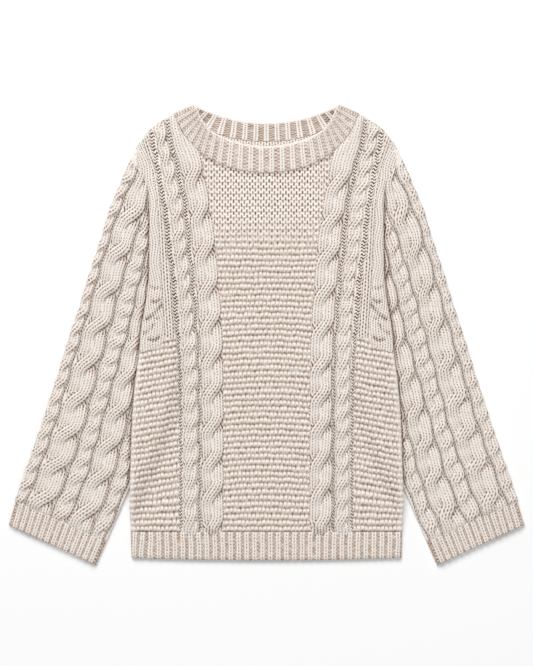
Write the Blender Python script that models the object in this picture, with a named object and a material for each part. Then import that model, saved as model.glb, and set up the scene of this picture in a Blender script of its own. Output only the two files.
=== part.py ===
"""Cable knit sweater laid flat on its back.

The front faces +Z, the neck points to +Y and the hem to -Y. The underside lies on z = 0. Each knitted
piece is a wall of its own. The sleeves are pulled down, so each lies partly under the body, and its
head is folded over it along the armhole. Cables and ribs are raised on the walls' outer faces.
"""

import bisect
import functools
import math

import bmesh
import bpy
import numpy as np

MM = 0.001

# Driving dimensions, in metres
WALL = 3.5 * MM  # knitted cloth
SEAM = 0.3 * MM  # gap that stands for a seam
AIR = 0.8 * MM  # between the front and the back, which lie on each other
SLOT = 1.0 * MM  # air between the two layers of a flattened sleeve
TUBE = 2 * WALL + SLOT  # a flattened sleeve
LIFT = 11.0 * MM  # the body's underside where a sleeve is tucked below it
FRONT_RAMP = 33.0 * MM  # width over which the front climbs above a tucked sleeve
BACK_RAMP = 26.0 * MM  # width over which the back climbs onto it
NOSE = 5.0 * MM  # how far in from an edge the cloth rounds over
BIG_CABLE = 4.6 * MM  # height of the big cables
SMALL_CABLE = 3.0 * MM  # height of the small cables
PLAIN_COLUMNS = 1.4 * MM  # height of the plain columns beside an armhole
RIB = 1.9 * MM  # height of the ribs
RIB_SHAPE = (0.0, 0.8, 1.0, 0.8)  # share of a rib's height at each of its places
PER_RIB = len(RIB_SHAPE)
HEM_RIBS = 34
CUFF_RIBS = 13
NECK_RIBS = 22
FRONT_ROWS = 84  # rows of faces up the front
BACK_ROWS = 50  # rows of faces up the back
SLEEVE_ROWS = 84  # rows of faces up a sleeve
FRONT_FACES = 5200
BACK_FACES = 1500
SLEEVE_FACES = 3100
BAND_FACES = 1500
HEM_FACES = 1100
CUFF_FACES = 600

# Lines that run up the body, as distances from its centre at each height, in millimetres
BODY_LINES = (
    ("height", "garter", "big", "small", "seam", "side"),
    (-277.0, 59.5, 93.8, 119.7, 140.0, 190.0),
    (-227.0, 59.5, 93.8, 119.7, 140.2, 191.0),
    (-176.0, 59.5, 93.8, 119.7, 140.5, 189.6),
    (-111.0, 59.5, 94.0, 120.0, 141.0, 187.0),
    (-75.0, 59.8, 94.3, 120.4, 141.2, 184.0),
    (-42.0, 60.2, 94.8, 121.0, 141.4, 180.0),
    (-26.6, 60.5, 95.4, 121.8, 141.5, 177.8),
    (-5.6, 61.0, 96.5, 123.2, 141.6, 177.8),
    (20.0, 62.3, 98.7, 125.5, 143.0, 177.8),
    (74.0, 66.5, 103.0, 129.5, 146.3, 177.8),
    (127.0, 70.7, 108.5, 136.5, 149.1, 177.8),
    (172.0, 77.7, 112.7, 141.4, 151.5, 177.8),
    (221.0, 86.1, 122.5, 150.5, 157.8, 177.8),
    (256.0, 94.5, 130.9, 156.8, 168.5, 177.8),
    (290.0, 111.3, 139.3, 163.8, 180.0, 190.0),
)
UNDERARM = -5.6 * MM  # height where the armhole seam turns out to the side
ARMPIT = -26.6 * MM  # height where it reaches the side
# Edges that run across, as heights at each distance from the centre, in millimetres
UNDERARM_SEAM = (
    ("across", "height"),
    (141.6, -5.6),
    (144.9, -12.6),
    (151.9, -18.2),
    (163.1, -23.1),
    (177.8, -26.6),
)
SHOULDER = (
    ("across", "height"),
    (129.5, 308.0),
    (151.0, 296.0),
    (164.5, 285.6),
    (175.7, 272.0),
)
FRONT_NECK = (
    ("across", "height"),
    (-30.0, 228.0),
    (0.0, 225.4),
    (30.0, 228.0),
    (65.0, 238.0),
    (84.7, 249.0),
    (103.0, 264.6),
    (118.0, 283.0),
    (129.5, 308.0),
)
BACK_NECK = (
    ("across", "height"),
    (-30.0, 271.5),
    (0.0, 270.0),
    (30.0, 271.5),
    (65.0, 279.5),
    (97.0, 291.5),
    (120.0, 300.5),
    (129.5, 308.0),
)
HEM_SIDE = -313.6 * MM
HEM_DROP = 3.5 * MM  # how much lower the hem hangs at its middle
BODY_BOTTOM = -277.0 * MM

# The two edges of a flattened sleeve and the lines between its cables, in millimetres. "up" runs along
# the outer edge from the cuff's seam, and the cables' borders are distances in from that edge.
SLEEVE_LINES = (
    ("up", "outer_x", "outer_y", "inner_x", "inner_y", "edge", "big", "small", "inner_big", "inner_small"),
    (0.0, 351.8, -231.7, 224.1, -290.1, 15.0, 54.5, 78.0, 116.0, 137.0),
    (58.0, 332.5, -176.4, 196.7, -226.8, 16.5, 56.0, 80.5, 118.0, 140.0),
    (119.0, 312.9, -119.0, 172.2, -172.2, 16.0, 55.0, 78.5, 116.0, 138.0),
    (182.0, 293.3, -58.8, 151.9, -112.0, 12.5, 50.5, 73.5, 110.0, 132.0),
    (238.0, 276.5, -4.2, 140.7, -64.4, 8.5, 46.5, 70.0, 106.0, 128.0),
    (287.0, 261.1, 42.0, 136.5, -22.4, 5.0, 43.0, 66.5, 102.0, 121.0),
    (336.0, 247.1, 88.2, 137.9, 19.6, 2.5, 40.0, 63.0, 98.0, 108.0),
    (385.0, 231.7, 134.4, 142.1, 68.6, 2.0, 36.0, 59.0, 84.0, 88.0),
    (424.0, 220.5, 172.2, 147.0, 117.6, 2.0, 33.0, 54.0, 70.0, 72.0),
    (456.0, 207.9, 203.0, 152.2, 166.6, 2.0, 31.0, 46.0, 55.0, 57.0),
    (493.0, 194.6, 235.9, 159.0, 210.0, 2.0, 25.0, 30.0, 34.0, 36.0),
    (518.0, 183.4, 259.7, 167.0, 243.6, 2.0, 8.0, 10.0, 12.0, 14.0),
)
CUFF_END = (("outer_x", "outer_y", "inner_x", "inner_y"), (361.9, -266.7, 238.7, -323.4))

# The folded head of a sleeve: its outer border at each height, in millimetres
HEAD_BORDER = (
    ("height", "across"),
    (-26.6, 177.8),
    (-9.8, 176.8),
    (11.2, 174.6),
    (22.4, 172.5),
    (43.4, 169.0),
    (54.6, 166.6),
    (75.6, 164.8),
    (131.6, 163.8),
    (166.6, 163.8),
    (196.0, 164.5),
    (214.0, 168.0),
    (228.0, 175.5),
    (240.0, 186.0),
    (250.0, 187.0),
    (262.0, 182.0),
    (269.0, 178.0),
)
HEAD_TOP = 269.0 * MM
HEAD_BOTTOM = 6.2 * MM  # how deep the folded head reaches into the sleeve below it

# The neckband's edges, from its middle to its fold at a shoulder, in millimetres. The sewn edge lies on
# the panel's neck, so its height comes from there.
BAND_LINES = (
    ("step", "front_x", "front_y", "front_sewn", "back_x", "back_y", "back_sewn"),
    (0.0, 0.0, 263.2, 0.0, 0.0, 296.0, 0.0),
    (1.0, 28.5, 266.2, 30.0, 18.0, 296.8, 19.0),
    (2.0, 55.0, 274.0, 60.0, 36.5, 299.2, 39.0),
    (3.0, 76.0, 284.5, 84.7, 55.0, 303.3, 61.0),
    (4.0, 89.5, 296.0, 103.0, 71.0, 308.3, 84.0),
    (5.0, 95.6, 307.0, 118.0, 85.0, 313.5, 106.0),
    (6.0, 97.2, 318.6, 127.9, 97.2, 318.6, 127.9),
)

# Height of a big cable's crossings: crossing number against height in millimetres, evened out by gauge
CROSSINGS = (("height", "number"), (-269.0, 0.0), (17.0, 6.0), (221.0, 10.0), (325.0, 12.0))
SMALL_PER_BIG = 1.9  # crossings of a small cable for each one of a big cable
SLEEVE_BIG_STEP = 51.0 * MM  # from crossing to crossing of a sleeve's big cables
SLEEVE_SMALL_STEP = 25.0 * MM  # and of its small ones
OUTER_SMALL = 15.0 * MM  # how far the outermost small cable runs round a sleeve's edge
ARMHOLE_GARTER = 6.5 * MM  # garter between the small cable and the plain columns beside an armhole

FOLD_SIDEWAYS, FOLD_UP = 0.42, 0.91  # the way in which the neckband's folds point, on the right side

OATMEAL = (0.69, 0.62, 0.56)


@functools.lru_cache(maxsize=None)
def columns(table, along, name):
    """Two named columns of a table, in metres, with the slope of the second along the first."""
    xs, ys = (np.array([row[table[0].index(title)] for row in table[1:]]) * MM for title in (along, name))
    if xs[0] > xs[-1]:
        xs, ys = xs[::-1], ys[::-1]
    return xs.tolist(), ys.tolist(), np.gradient(ys, xs).tolist()


def read(table, along, name, x):
    """A smooth curve through a table's column, read at one place along another column, in metres."""
    xs, ys, slopes = columns(table, along, name)
    x = min(max(x, xs[0]), xs[-1])
    place = min(bisect.bisect_right(xs, x) - 1, len(xs) - 2)
    width = xs[place + 1] - xs[place]
    share = (x - xs[place]) / width
    rest = 1.0 - share
    blend = smooth(share)
    bend = share * rest * (slopes[place] * rest - slopes[place + 1] * share)
    return ys[place] * (1.0 - blend) + ys[place + 1] * blend + width * bend


def smooth(value):
    """0 below 0, 1 above 1, and an even S between them."""
    value = min(max(value, 0.0), 1.0)
    return value * value * (3.0 - 2.0 * value)


def between(start, end, share):
    """The point at a share of the way from one point to another."""
    return tuple(a + (b - a) * share for a, b in zip(start, end))


def body_line(name, height):
    """Distance of one of the body's lines from its centre at a height."""
    return read(BODY_LINES, "height", name, height)


def underarm_seam(across):
    """Height of the seam under the arm at a distance from the centre."""
    return read(UNDERARM_SEAM, "across", "height", across)


def shoulder_edge(across):
    """Height of the shoulder at a distance from the centre."""
    return read(SHOULDER, "across", "height", across)


def top_edge(neck, across):
    """Height of a panel's top edge: its neck, then its shoulder."""
    if across > SHOULDER[1][0] * MM:
        return shoulder_edge(across)
    return read(neck, "across", "height", across)


def nose(distance, reach=NOSE):
    """How full the cloth is at a distance from an edge it rounds over: 0 at the edge, 1 past its reach."""
    left = 1.0 - min(max(distance, 0.0), reach) / reach
    return math.sqrt(max(0.0, 1.0 - left * left))


def sleeve_inner_edge(height):
    """Distance from the centre of a tucked sleeve's inner edge."""
    return read(SLEEVE_LINES, "inner_y", "inner_x", height)


def shoulder_fade(y):
    """1 where a sleeve is tucked under the body, falling to 0 towards the shoulder."""
    return smooth((262.0 * MM - y) / (100.0 * MM))


def lift(x, y, ramp):
    """How high a body panel is raised at a point, over a tucked sleeve and on the ramp that leads to it."""
    depth = abs(x) - sleeve_inner_edge(y)
    return LIFT * shoulder_fade(y) * smooth((depth + ramp) / (ramp - 3.0 * MM))


def strand(across, half_width):
    """Height of one round strand, as a share of its full height."""
    share = abs(across) / half_width
    return math.sqrt(1.0 - share * share) if share < 1.0 else 0.0


def rope(across, turns):
    """Height of a rope cable of two strands, as a share: across runs from -1 to 1, turns counts crossings.

    At each whole turn one strand climbs over the other from lower left to upper right.
    """
    phase = turns + 0.5
    step = phase - math.floor(phase)
    move = smooth((step - 0.22) / 0.56)
    over = 1.0 - abs(2.0 * move - 1.0)
    climbing = strand(across - (move - 0.5), 0.52) * (0.72 + 0.28 * over)
    passing = strand(across + (move - 0.5), 0.52) * (0.72 - 0.5 * over)
    return max(climbing, passing)


def cable(distance, side, inner, outer, turns):
    """Share of a rope cable's height between two lines that run up one side of the body."""
    return rope(side * (2.0 * distance - inner - outer) / (outer - inner), turns)


def body_relief(x, y):
    """How far the front's cables and plain columns stand out at a point."""
    distance, side = abs(x), math.copysign(1.0, x)
    garter, big, small, seam = (body_line(name, y) for name in ("garter", "big", "small", "seam"))
    turns = read(CROSSINGS, "height", "number", y) / MM
    if garter < distance < big:
        return BIG_CABLE * cable(distance, side, garter, big, turns)
    if big < distance < small:
        return SMALL_CABLE * cable(distance, side, big, small, turns * SMALL_PER_BIG)
    edge = small + ARMHOLE_GARTER
    if y > UNDERARM and edge < distance:
        return PLAIN_COLUMNS * strand(distance - 0.5 * (edge + seam), 0.6 * (seam - edge))
    return 0.0


def body_edge(x, y):
    """Distance of a point of a body panel from the nearest edge that rounds over."""
    side = body_line("side", y) - abs(x) if y < UNDERARM and abs(x) > body_line("seam", y) else 1.0
    if abs(x) < SHOULDER[1][0] * MM:
        return side
    return min(side, 0.86 * (shoulder_edge(abs(x)) - y))


def material(name, colour, roughness):
    """A plain cloth material."""
    made = bpy.data.materials.new(name)
    made.use_nodes = True
    shader = made.node_tree.nodes["Principled BSDF"]
    shader.inputs["Base Color"].default_value = (*colour, 1.0)
    shader.inputs["Roughness"].default_value = roughness
    shader.inputs["Metallic"].default_value = 0.0
    return made


def new_object(name, bm, faces=None):
    """An object from a bmesh, its faces turned outwards, thinned to a number of faces where one is given."""
    bmesh.ops.recalc_face_normals(bm, faces=bm.faces)
    bmesh.ops.triangulate(bm, faces=bm.faces)
    count = len(bm.faces)
    mesh = bpy.data.meshes.new(name)
    bm.to_mesh(mesh)
    bm.free()
    made = bpy.data.objects.new(name, mesh)
    bpy.context.collection.objects.link(made)
    mesh.materials.append(material(name, OATMEAL, 0.95))
    mesh.shade_smooth()
    if faces and faces < count:
        made.vertex_groups.new(name="Free")
        thin = made.modifiers.new("Thin", "DECIMATE")
        thin.decimate_type = "COLLAPSE"
        thin.ratio = faces / count
        thin.use_collapse_triangulate = True
        thin.vertex_group = "Free"
        thin.vertex_group_factor = 1e-5
    return made


def wall(name, across, along, outer, inner, skip=None, rolled=False, faces=None):
    """A closed wall over a grid of cloth.

    outer and inner give the points of its two sides for a grid place. skip says which faces of the grid
    are no cloth, and a rolled wall is a tube whose first and last columns meet.
    """
    bm = bmesh.new()
    bmesh.ops.create_grid(bm, x_segments=across, y_segments=along, size=0.5)
    free = bm.verts.layers.deform.verify()
    column_of = bm.verts.layers.int.new("column")
    row_of = bm.verts.layers.int.new("row")
    for vertex in bm.verts:
        vertex[column_of] = round((vertex.co.x + 0.5) * across)
        vertex[row_of] = round((vertex.co.y + 0.5) * along)
    if skip:
        unused = []
        for face in bm.faces:
            column = min(vertex[column_of] for vertex in face.verts)
            row = min(vertex[row_of] for vertex in face.verts)
            if skip(column, row):
                unused.append(face)
        bmesh.ops.delete(bm, geom=unused, context="FACES")
    for vertex in bm.verts:
        vertex.co = outer(vertex[column_of], vertex[row_of])
    if rolled:
        ends = [vertex for vertex in bm.verts if vertex[column_of] in (0, across)]
        bmesh.ops.remove_doubles(bm, verts=ends, dist=1e-6)
    for vertex in bm.verts:
        vertex[free][0] = 0.0 if vertex.is_boundary else 1.0
    made = bmesh.ops.extrude_face_region(bm, geom=bm.faces[:])["geom"]
    for vertex in made:
        if isinstance(vertex, bmesh.types.BMVert):
            vertex.co = inner(vertex[column_of], vertex[row_of])
    return new_object(name, bm, faces)


SIDE_SHARES = (0.0, 0.2, 0.4, 0.6, 0.78, 0.9, 0.97, 1.0)  # places of the columns beside an armhole's seam


def body_columns():
    """The body's columns from left to right, each as (side, first line, second line, share between them)."""
    bands = (
        ("centre", "garter", (0.0, 0.1, 0.2, 0.3, 0.4, 0.5, 0.6, 0.7, 0.8, 0.9)),
        ("garter", "big", (0.0, 0.1, 0.2, 0.26, 0.31, 0.37, 0.46, 0.56, 0.68, 0.8, 0.9)),
        ("big", "small", (0.0, 0.15, 0.37, 0.63, 0.85)),
        ("small", "seam", (0.0, 0.4, 0.7)),
        ("seam", "side", SIDE_SHARES),
    )
    half = [(start, end, share) for start, end, shares in bands for share in shares]
    return [(-1.0, *place) for place in reversed(half[1:])] + [(1.0, *place) for place in half]


COLUMNS = body_columns()
SEAM_COLUMNS = [index for index, place in enumerate(COLUMNS) if place[1] == "seam" and place[3] == 0.0]
LOWER_SHARE = 0.52  # share of a panel's rows that lie below the underarm


def column_across(place, height):
    """Where a column of the body lies at a height."""
    side, start, end, share = place
    near = 0.0 if start == "centre" else body_line(start, height)
    return side * (near + (body_line(end, height) - near) * share)


def column_top(place, neck):
    """The height where a column meets the panel's top edge, found by halving."""
    low, high = 0.2, 0.32
    for _ in range(30):
        middle = 0.5 * (low + high)
        if middle < top_edge(neck, abs(column_across(place, middle))):
            low = middle
        else:
            high = middle
    return low


def body_place(index, row, rows, neck):
    """x and y of a grid place of a body panel, trimmed by half a seam where it meets a piece."""
    place = COLUMNS[index]
    trim = SEAM / 2
    lower = round(rows * LOWER_SHARE)
    outside = place[1] == "seam" and place[3] > 0.0
    middle = underarm_seam(abs(column_across(place, UNDERARM))) if outside else UNDERARM
    bottom = BODY_BOTTOM + trim
    if row <= lower:
        top = middle - (trim if outside else 0.0)
        y = bottom + (top - bottom) * row / lower
    else:
        top = column_top(place, neck) - trim
        y = middle + (top - middle) * (row - lower) / (rows - lower)
    x = column_across(place, y)
    if index in SEAM_COLUMNS and row >= lower:
        x -= math.copysign(trim, x)
    return x, y


def body_wall(name, rows, outside, inside, faces):
    """A body panel's wall, with no cloth past the armholes."""
    lower = round(rows * LOWER_SHARE)

    def no_cloth(index, row):
        return row >= lower and (index < SEAM_COLUMNS[0] or index >= SEAM_COLUMNS[1])

    return wall(name, len(COLUMNS) - 1, rows, outside, inside, no_cloth, faces=faces)


def make_front():
    """The front panel, on top of the back panel."""

    def inside(index, row):
        x, y = body_place(index, row, FRONT_ROWS, FRONT_NECK)
        return x, y, lift(x, y, FRONT_RAMP) + WALL + AIR

    def outside(index, row):
        x, y, z = inside(index, row)
        full = 0.3 + 0.7 * nose(body_edge(x, y))
        top = top_edge(FRONT_NECK, abs(x))
        ends = smooth((y - BODY_BOTTOM) / (8.0 * MM)) * smooth((top - y) / (8.0 * MM))
        return x, y, z + WALL * full + body_relief(x, y) * ends

    return body_wall("front", FRONT_ROWS, outside, inside, FRONT_FACES)


def make_back():
    """The back panel, flat on the floor but for where the sleeves are tucked below it."""

    def inside(index, row):
        x, y = body_place(index, row, BACK_ROWS, BACK_NECK)
        return x, y, lift(x, y, BACK_RAMP) + WALL

    def outside(index, row):
        x, y, z = inside(index, row)
        return x, y, z - WALL * (0.3 + 0.7 * nose(body_edge(x, y)))

    return body_wall("back", BACK_ROWS, outside, inside, BACK_FACES)


def hem_place(share, down):
    """x and y in the hem band, from its left end to its right, and from the panel down."""
    x = share * body_line("side", BODY_BOTTOM)
    bottom = HEM_SIDE - HEM_DROP * (1.0 - share * share)
    return x * (1.0 - 0.006 * down), BODY_BOTTOM - SEAM / 2 + (bottom - BODY_BOTTOM) * down


def rib_height(count, place):
    """Height of the ribs at a grid place, with none before the first or past the last."""
    return RIB * RIB_SHAPE[place % PER_RIB] if 0 < place < count * PER_RIB else 0.0


def make_hem(name, front):
    """One half of the ribbed hem. The half on the floor is plain."""
    columns = HEM_RIBS * PER_RIB if front else 24

    def inside(index, row):
        share = 2.0 * index / columns - 1.0
        x, y = hem_place(share, row / 2)
        return x, y, WALL + (AIR if front else 0.0)

    def outside(index, row):
        x, y, z = inside(index, row)
        full = 0.3 + 0.7 * nose(hem_place(1.0, row / 2)[0] - abs(x))
        if front:
            return x, y, z + (WALL - 0.5 * RIB) * full + rib_height(HEM_RIBS, index)
        return x, y, z - WALL * full

    return wall(name, columns, 2, outside, inside, faces=HEM_FACES)


def sleeve_value(name, up):
    """One of the sleeve's values at a distance up its outer edge."""
    return read(SLEEVE_LINES, "up", name, up)


def sleeve_relief(across, up, side):
    """How far a sleeve's cables stand out. Strands lean the same way on both sleeves."""
    lines = [sleeve_value(name, up) for name in ("edge", "big", "small", "inner_big", "inner_small")]
    borders = [lines[0] - OUTER_SMALL, *lines]
    for number, (low, high) in enumerate(zip(borders, borders[1:])):
        if low < across < high and high - low > 8.0 * MM:
            big = number % 2
            step = SLEEVE_BIG_STEP if big else SLEEVE_SMALL_STEP
            height = BIG_CABLE if big else SMALL_CABLE
            return height * cable(across, -side, low, high, up / step + 0.3 * number)
    return 0.0


def covered(x, y):
    """1 where the body or the folded head lies over a sleeve, 0 in the open."""
    if y > 250.0 * MM or y < BODY_BOTTOM:
        return 0.0
    over = body_line("side", y) if y < ARMPIT else head_border(y)
    return 1.0 - smooth((abs(x) - over - 1.0 * MM) / (8.0 * MM))


def tube_ring(width, top_places):
    """Places round a flattened tube: (distance from its outer edge, +1 for the top or -1 for the bottom)."""
    edge = (0.0, 0.8 * MM, 2.4 * MM, 5.0 * MM)
    lower = [*edge[1:], 0.35 * width, 0.65 * width, *(width - place for place in edge[:0:-1])]
    ring = [(place, 1.0) for place in (*edge, *top_places, *(width - place for place in edge[::-1]))]
    return ring + [(place, -1.0) for place in lower[::-1]] + [(0.0, 1.0)]


def tube_heights(distance, width):
    """Half thicknesses of the outside and of the slot of a flattened tube, at a distance from its edge."""
    outside = TUBE / 2 * nose(min(distance, width - distance))
    slot = SLOT / 2 * nose(min(distance, width - distance) - WALL, 3.0 * MM)
    return outside, slot


def make_tube(name, side, rows, ends, places, relief, faces):
    """A flattened tube: ends gives both edge points of each row, places the columns of its top."""

    def spot(index, row, inside):
        (x0, y0), (x1, y1) = ends(row)
        width = math.hypot(x1 - x0, y1 - y0)
        distance, face = tube_ring(width, places(row, width))[index]
        outer_half, slot_half = tube_heights(distance, width)
        if inside:
            distance = min(max(distance, WALL), width - WALL)
        share = distance / width
        x, y = x0 + (x1 - x0) * share, y0 + (y1 - y0) * share
        half = slot_half if inside else outer_half
        z = TUBE / 2 + face * half
        if not inside and face > 0.0:
            z += relief(index, row, distance, x, y) * nose(min(distance, width - distance))
        return side * x, y, z

    around = len(tube_ring(1.0, places(0, 1.0))) - 1
    outer = functools.partial(spot, inside=False)
    inner = functools.partial(spot, inside=True)
    return wall(name, around, rows, outer, inner, rolled=True, faces=faces)


def sleeve_edges(up):
    """The sleeve's outer and inner edge points at a distance up it."""
    outer, inner = ((f"{edge}_x", f"{edge}_y") for edge in ("outer", "inner"))
    return tuple(tuple(sleeve_value(name, up) for name in edge) for edge in (outer, inner))


def make_sleeve_tube(name, side):
    """The sleeve proper, from the cuff's seam to the shoulder."""
    bands = (
        ("edge", "big", 7),
        ("big", "small", 5),
        ("small", "inner_big", 7),
        ("inner_big", "inner_small", 4),
    )

    def up_of(row):
        return SLEEVE_LINES[-1][0] * MM * row / SLEEVE_ROWS

    def places(row, width):
        up = up_of(row)
        found = []
        for start, end, count in bands:
            low, high = sleeve_value(start, up), sleeve_value(end, up)
            found += [low + (high - low) * step / count for step in range(count)]
        low, high = NOSE + 0.6 * MM, width - NOSE - 0.6 * MM
        least = 0.2 * (high - low) / len(found)
        places_left = range(len(found), 0, -1)
        found = [max(place, low + least * number) for number, place in enumerate(found)]
        return [min(place, high - least * number) for number, place in zip(places_left, found)]

    def ends(row):
        return sleeve_edges(up_of(row))

    def relief(index, row, distance, x, y):
        up = up_of(row)
        shown = (1.0 - 0.65 * covered(x, y)) * smooth(up / (10.0 * MM))
        return sleeve_relief(distance, up, side) * shown

    return make_tube(name, side, SLEEVE_ROWS, ends, places, relief, faces=SLEEVE_FACES)


def head_border(height):
    """Distance from the centre of the head's outer border."""
    return read(HEAD_BORDER, "height", "across", height)


def make_head(name, side):
    """The folded head of a sleeve: two layers of cloth whose fold shows as a rounded edge."""
    shares = [1.0 - share for share in reversed(SIDE_SHARES)]
    rows = 30

    def place(index, row):
        share = shares[index]
        low = body_line("seam", UNDERARM)
        start = low + (body_line("side", ARMPIT) - low) * (1.0 - share)
        bottom = underarm_seam(start)
        y = bottom + SEAM / 2 + (HEAD_TOP - bottom) * row / rows
        inner = body_line("seam", max(y, UNDERARM)) + SEAM / 2
        return head_border(y) + (inner - head_border(y)) * share, y

    def top(index, row):
        x, y = place(index, row)
        half = WALL + AIR / 2
        full = 0.15 + 0.85 * nose(abs(head_border(y) - x))
        return side * x, y, LIFT * shoulder_fade(y) + half + half * full

    def bottom(index, row):
        x, y = place(index, row)
        return side * x, y, HEAD_BOTTOM * shoulder_fade(y)

    return wall(name, len(shares) - 1, rows, top, bottom)


def make_sleeve(name, side):
    """A sleeve with its folded head, as one solid."""
    sleeve = make_sleeve_tube(name, side)
    head = make_head(name + "_head", side)
    head.hide_render = True
    head.display_type = "WIRE"
    join = sleeve.modifiers.new("Head", "BOOLEAN")
    join.operation = "UNION"
    join.object = head
    return sleeve


def cuff_ends(row):
    """Edge points of a cuff at a row: 0 at its free end and 1 at the sleeve."""
    end = {name: value * MM for name, value in zip(CUFF_END[0], CUFF_END[1])}
    (x0, y0), (x1, y1) = sleeve_edges(0.0)
    reach = math.hypot(x0 - end["outer_x"], y0 - end["outer_y"])
    share = row * (1.0 - SEAM / reach)
    outer = between((end["outer_x"], end["outer_y"]), (x0, y0), share)
    inner = between((end["inner_x"], end["inner_y"]), (x1, y1), share)
    return outer, inner


def make_cuff(name, side):
    """A ribbed cuff: a short flattened tube."""
    count = CUFF_RIBS * PER_RIB

    def places(row, width):
        low, high = NOSE + 0.2 * MM, width - NOSE - 0.2 * MM
        return [low + (high - low) * step / count for step in range(1, count)]

    def relief(index, row, distance, x, y):
        return rib_height(CUFF_RIBS, index - 3) - 0.5 * RIB * nose(distance, 8.0 * MM)

    return make_tube(name, side, 2, lambda row: cuff_ends(row / 2), places, relief, CUFF_FACES)


def band_edges(layer, share):
    """The free and the sewn point of the neckband, share from -1 at the left shoulder to 1 at the right."""
    step = abs(share) * BAND_LINES[-1][0] * MM
    side = math.copysign(1.0, share)
    x, y, sewn = (read(BAND_LINES, "step", f"{layer}_{name}", step) for name in ("x", "y", "sewn"))
    neck = FRONT_NECK if layer == "front" else BACK_NECK
    sewn_y = top_edge(neck, sewn)
    gap = 1.8 * SEAM / math.hypot(x - sewn, y - sewn_y)
    return (side * x, y), (side * (sewn + (x - sewn) * gap), sewn_y + (y - sewn_y) * gap)


def make_neckband():
    """The neckband: a ribbed ring folded flat at both shoulders."""
    turn_steps = 6
    front_steps = NECK_RIBS * PER_RIB
    back_steps = 28
    radius = WALL + AIR / 2
    stations = [("front", 2.0 * step / front_steps - 1.0, 0.0, step) for step in range(front_steps + 1)]
    stations += [("turn", 1.0, step / turn_steps, 0) for step in range(1, turn_steps)]
    stations += [("back", 1.0 - 2.0 * step / back_steps, 1.0, 0) for step in range(back_steps + 1)]
    stations += [("turn", -1.0, 1.0 - step / turn_steps, 0) for step in range(1, turn_steps)]
    stations.append(stations[0])
    rows = 4

    def spot(index, row, outside):
        layer, share, turned, rib = stations[index]
        down = row / rows
        side = math.copysign(1.0, share)
        if layer == "turn":
            front, back = band_edges("front", side), band_edges("back", side)
            free, sewn = (between(a, b, turned) for a, b in zip(front, back))
        else:
            free, sewn = band_edges(layer, share)
        x, y = between(free, sewn, down)
        edge = 0.55 + 0.45 * nose(down * math.dist(free, sewn), 6.0 * MM)
        angle = math.pi * turned
        thick = (WALL * edge if outside else 0.0) + AIR / 2
        if outside and layer == "front":
            ribs = rib_height(NECK_RIBS, rib) - 0.3 * RIB
            thick += ribs * edge * smooth(min(rib, front_steps - rib) / 3.0)
        out = thick * math.sin(angle)
        x, y = x + FOLD_SIDEWAYS * side * out, y + FOLD_UP * out
        return x, y, radius + thick * math.cos(angle)

    around = len(stations) - 1
    outer = functools.partial(spot, outside=True)
    inner = functools.partial(spot, outside=False)
    return wall("neckband", around, rows, outer, inner, rolled=True, faces=BAND_FACES)


def main():
    for made in list(bpy.data.objects):
        bpy.data.objects.remove(made, do_unlink=True)
    make_front()
    make_back()
    make_hem("hem_front", True)
    make_hem("hem_back", False)
    make_neckband()
    for name, side in (("left", -1.0), ("right", 1.0)):
        make_sleeve(f"sleeve_{name}", side)
        make_cuff(f"cuff_{name}", side)


main()
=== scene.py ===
"""Dresses the laid out cable knit sweater: its stitches, cables, ribs, folds and wool."""

import functools
import math
from types import SimpleNamespace

import bmesh
import bpy
import numpy as np
from bpy.props import FloatProperty, FloatVectorProperty, PointerProperty
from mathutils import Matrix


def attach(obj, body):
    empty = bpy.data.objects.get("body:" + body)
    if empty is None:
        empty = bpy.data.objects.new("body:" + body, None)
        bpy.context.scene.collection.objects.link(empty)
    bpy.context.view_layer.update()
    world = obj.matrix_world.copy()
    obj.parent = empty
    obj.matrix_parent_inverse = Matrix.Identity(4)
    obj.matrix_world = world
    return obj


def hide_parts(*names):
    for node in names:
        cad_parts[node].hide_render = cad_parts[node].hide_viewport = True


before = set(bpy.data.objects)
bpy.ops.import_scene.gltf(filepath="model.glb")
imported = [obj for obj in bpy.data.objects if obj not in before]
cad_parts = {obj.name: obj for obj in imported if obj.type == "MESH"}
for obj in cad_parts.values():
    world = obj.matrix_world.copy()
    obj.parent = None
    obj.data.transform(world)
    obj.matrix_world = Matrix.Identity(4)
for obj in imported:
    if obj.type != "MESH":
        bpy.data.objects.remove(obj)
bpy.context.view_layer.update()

bl_info = {
    "name": "Cable knit sweater",
    "version": (1, 0, 0),
    "blender": (4, 5, 0),
    "location": "3D View > Sidebar > Knit",
    "description": "Knits the stitches, cables and ribs of a sweater that is laid out flat",
    "category": "Object",
}

MM = 0.001
WALL = 3.5 * MM  # knitted cloth
SEAM = 0.3 * MM  # gap that stands for a seam
AIR = 0.8 * MM  # between the front and the back, which lie on each other
SLOT = 1.0 * MM  # air between the two layers of a flattened sleeve
TUBE = 2 * WALL + SLOT  # a flattened sleeve
LIFT = 11.0 * MM  # the body's underside where a sleeve is tucked below it
FRONT_RAMP = 33.0 * MM  # width over which the front climbs above a tucked sleeve
BACK_RAMP = 26.0 * MM  # width over which the back climbs onto it
NOSE = 5.0 * MM  # how far in from an edge the cloth rounds over
EDGE_FADE = 9.0 * MM  # how far in from an edge the knit is flatter
STITCH = 4.06 * MM  # width of a stitch
ROW = 4.0 * MM  # height of a row of plain knit
CABLE_STITCH = 4.2 * MM  # width of a stitch on a cable
LADDER = 4.6 * MM  # height of a rung beside a cable
GARTER_STITCH = 5.7 * MM  # width of a garter bump
RIDGE = 8.26 * MM  # height of a garter ridge
RIB_LONG = 36.0 * MM  # height of a ribbed band
HEM_RIBS = 34
CUFF_RIBS = 13
NECK_RIBS = 24
BACK_NECK_RIBS = 15

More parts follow.
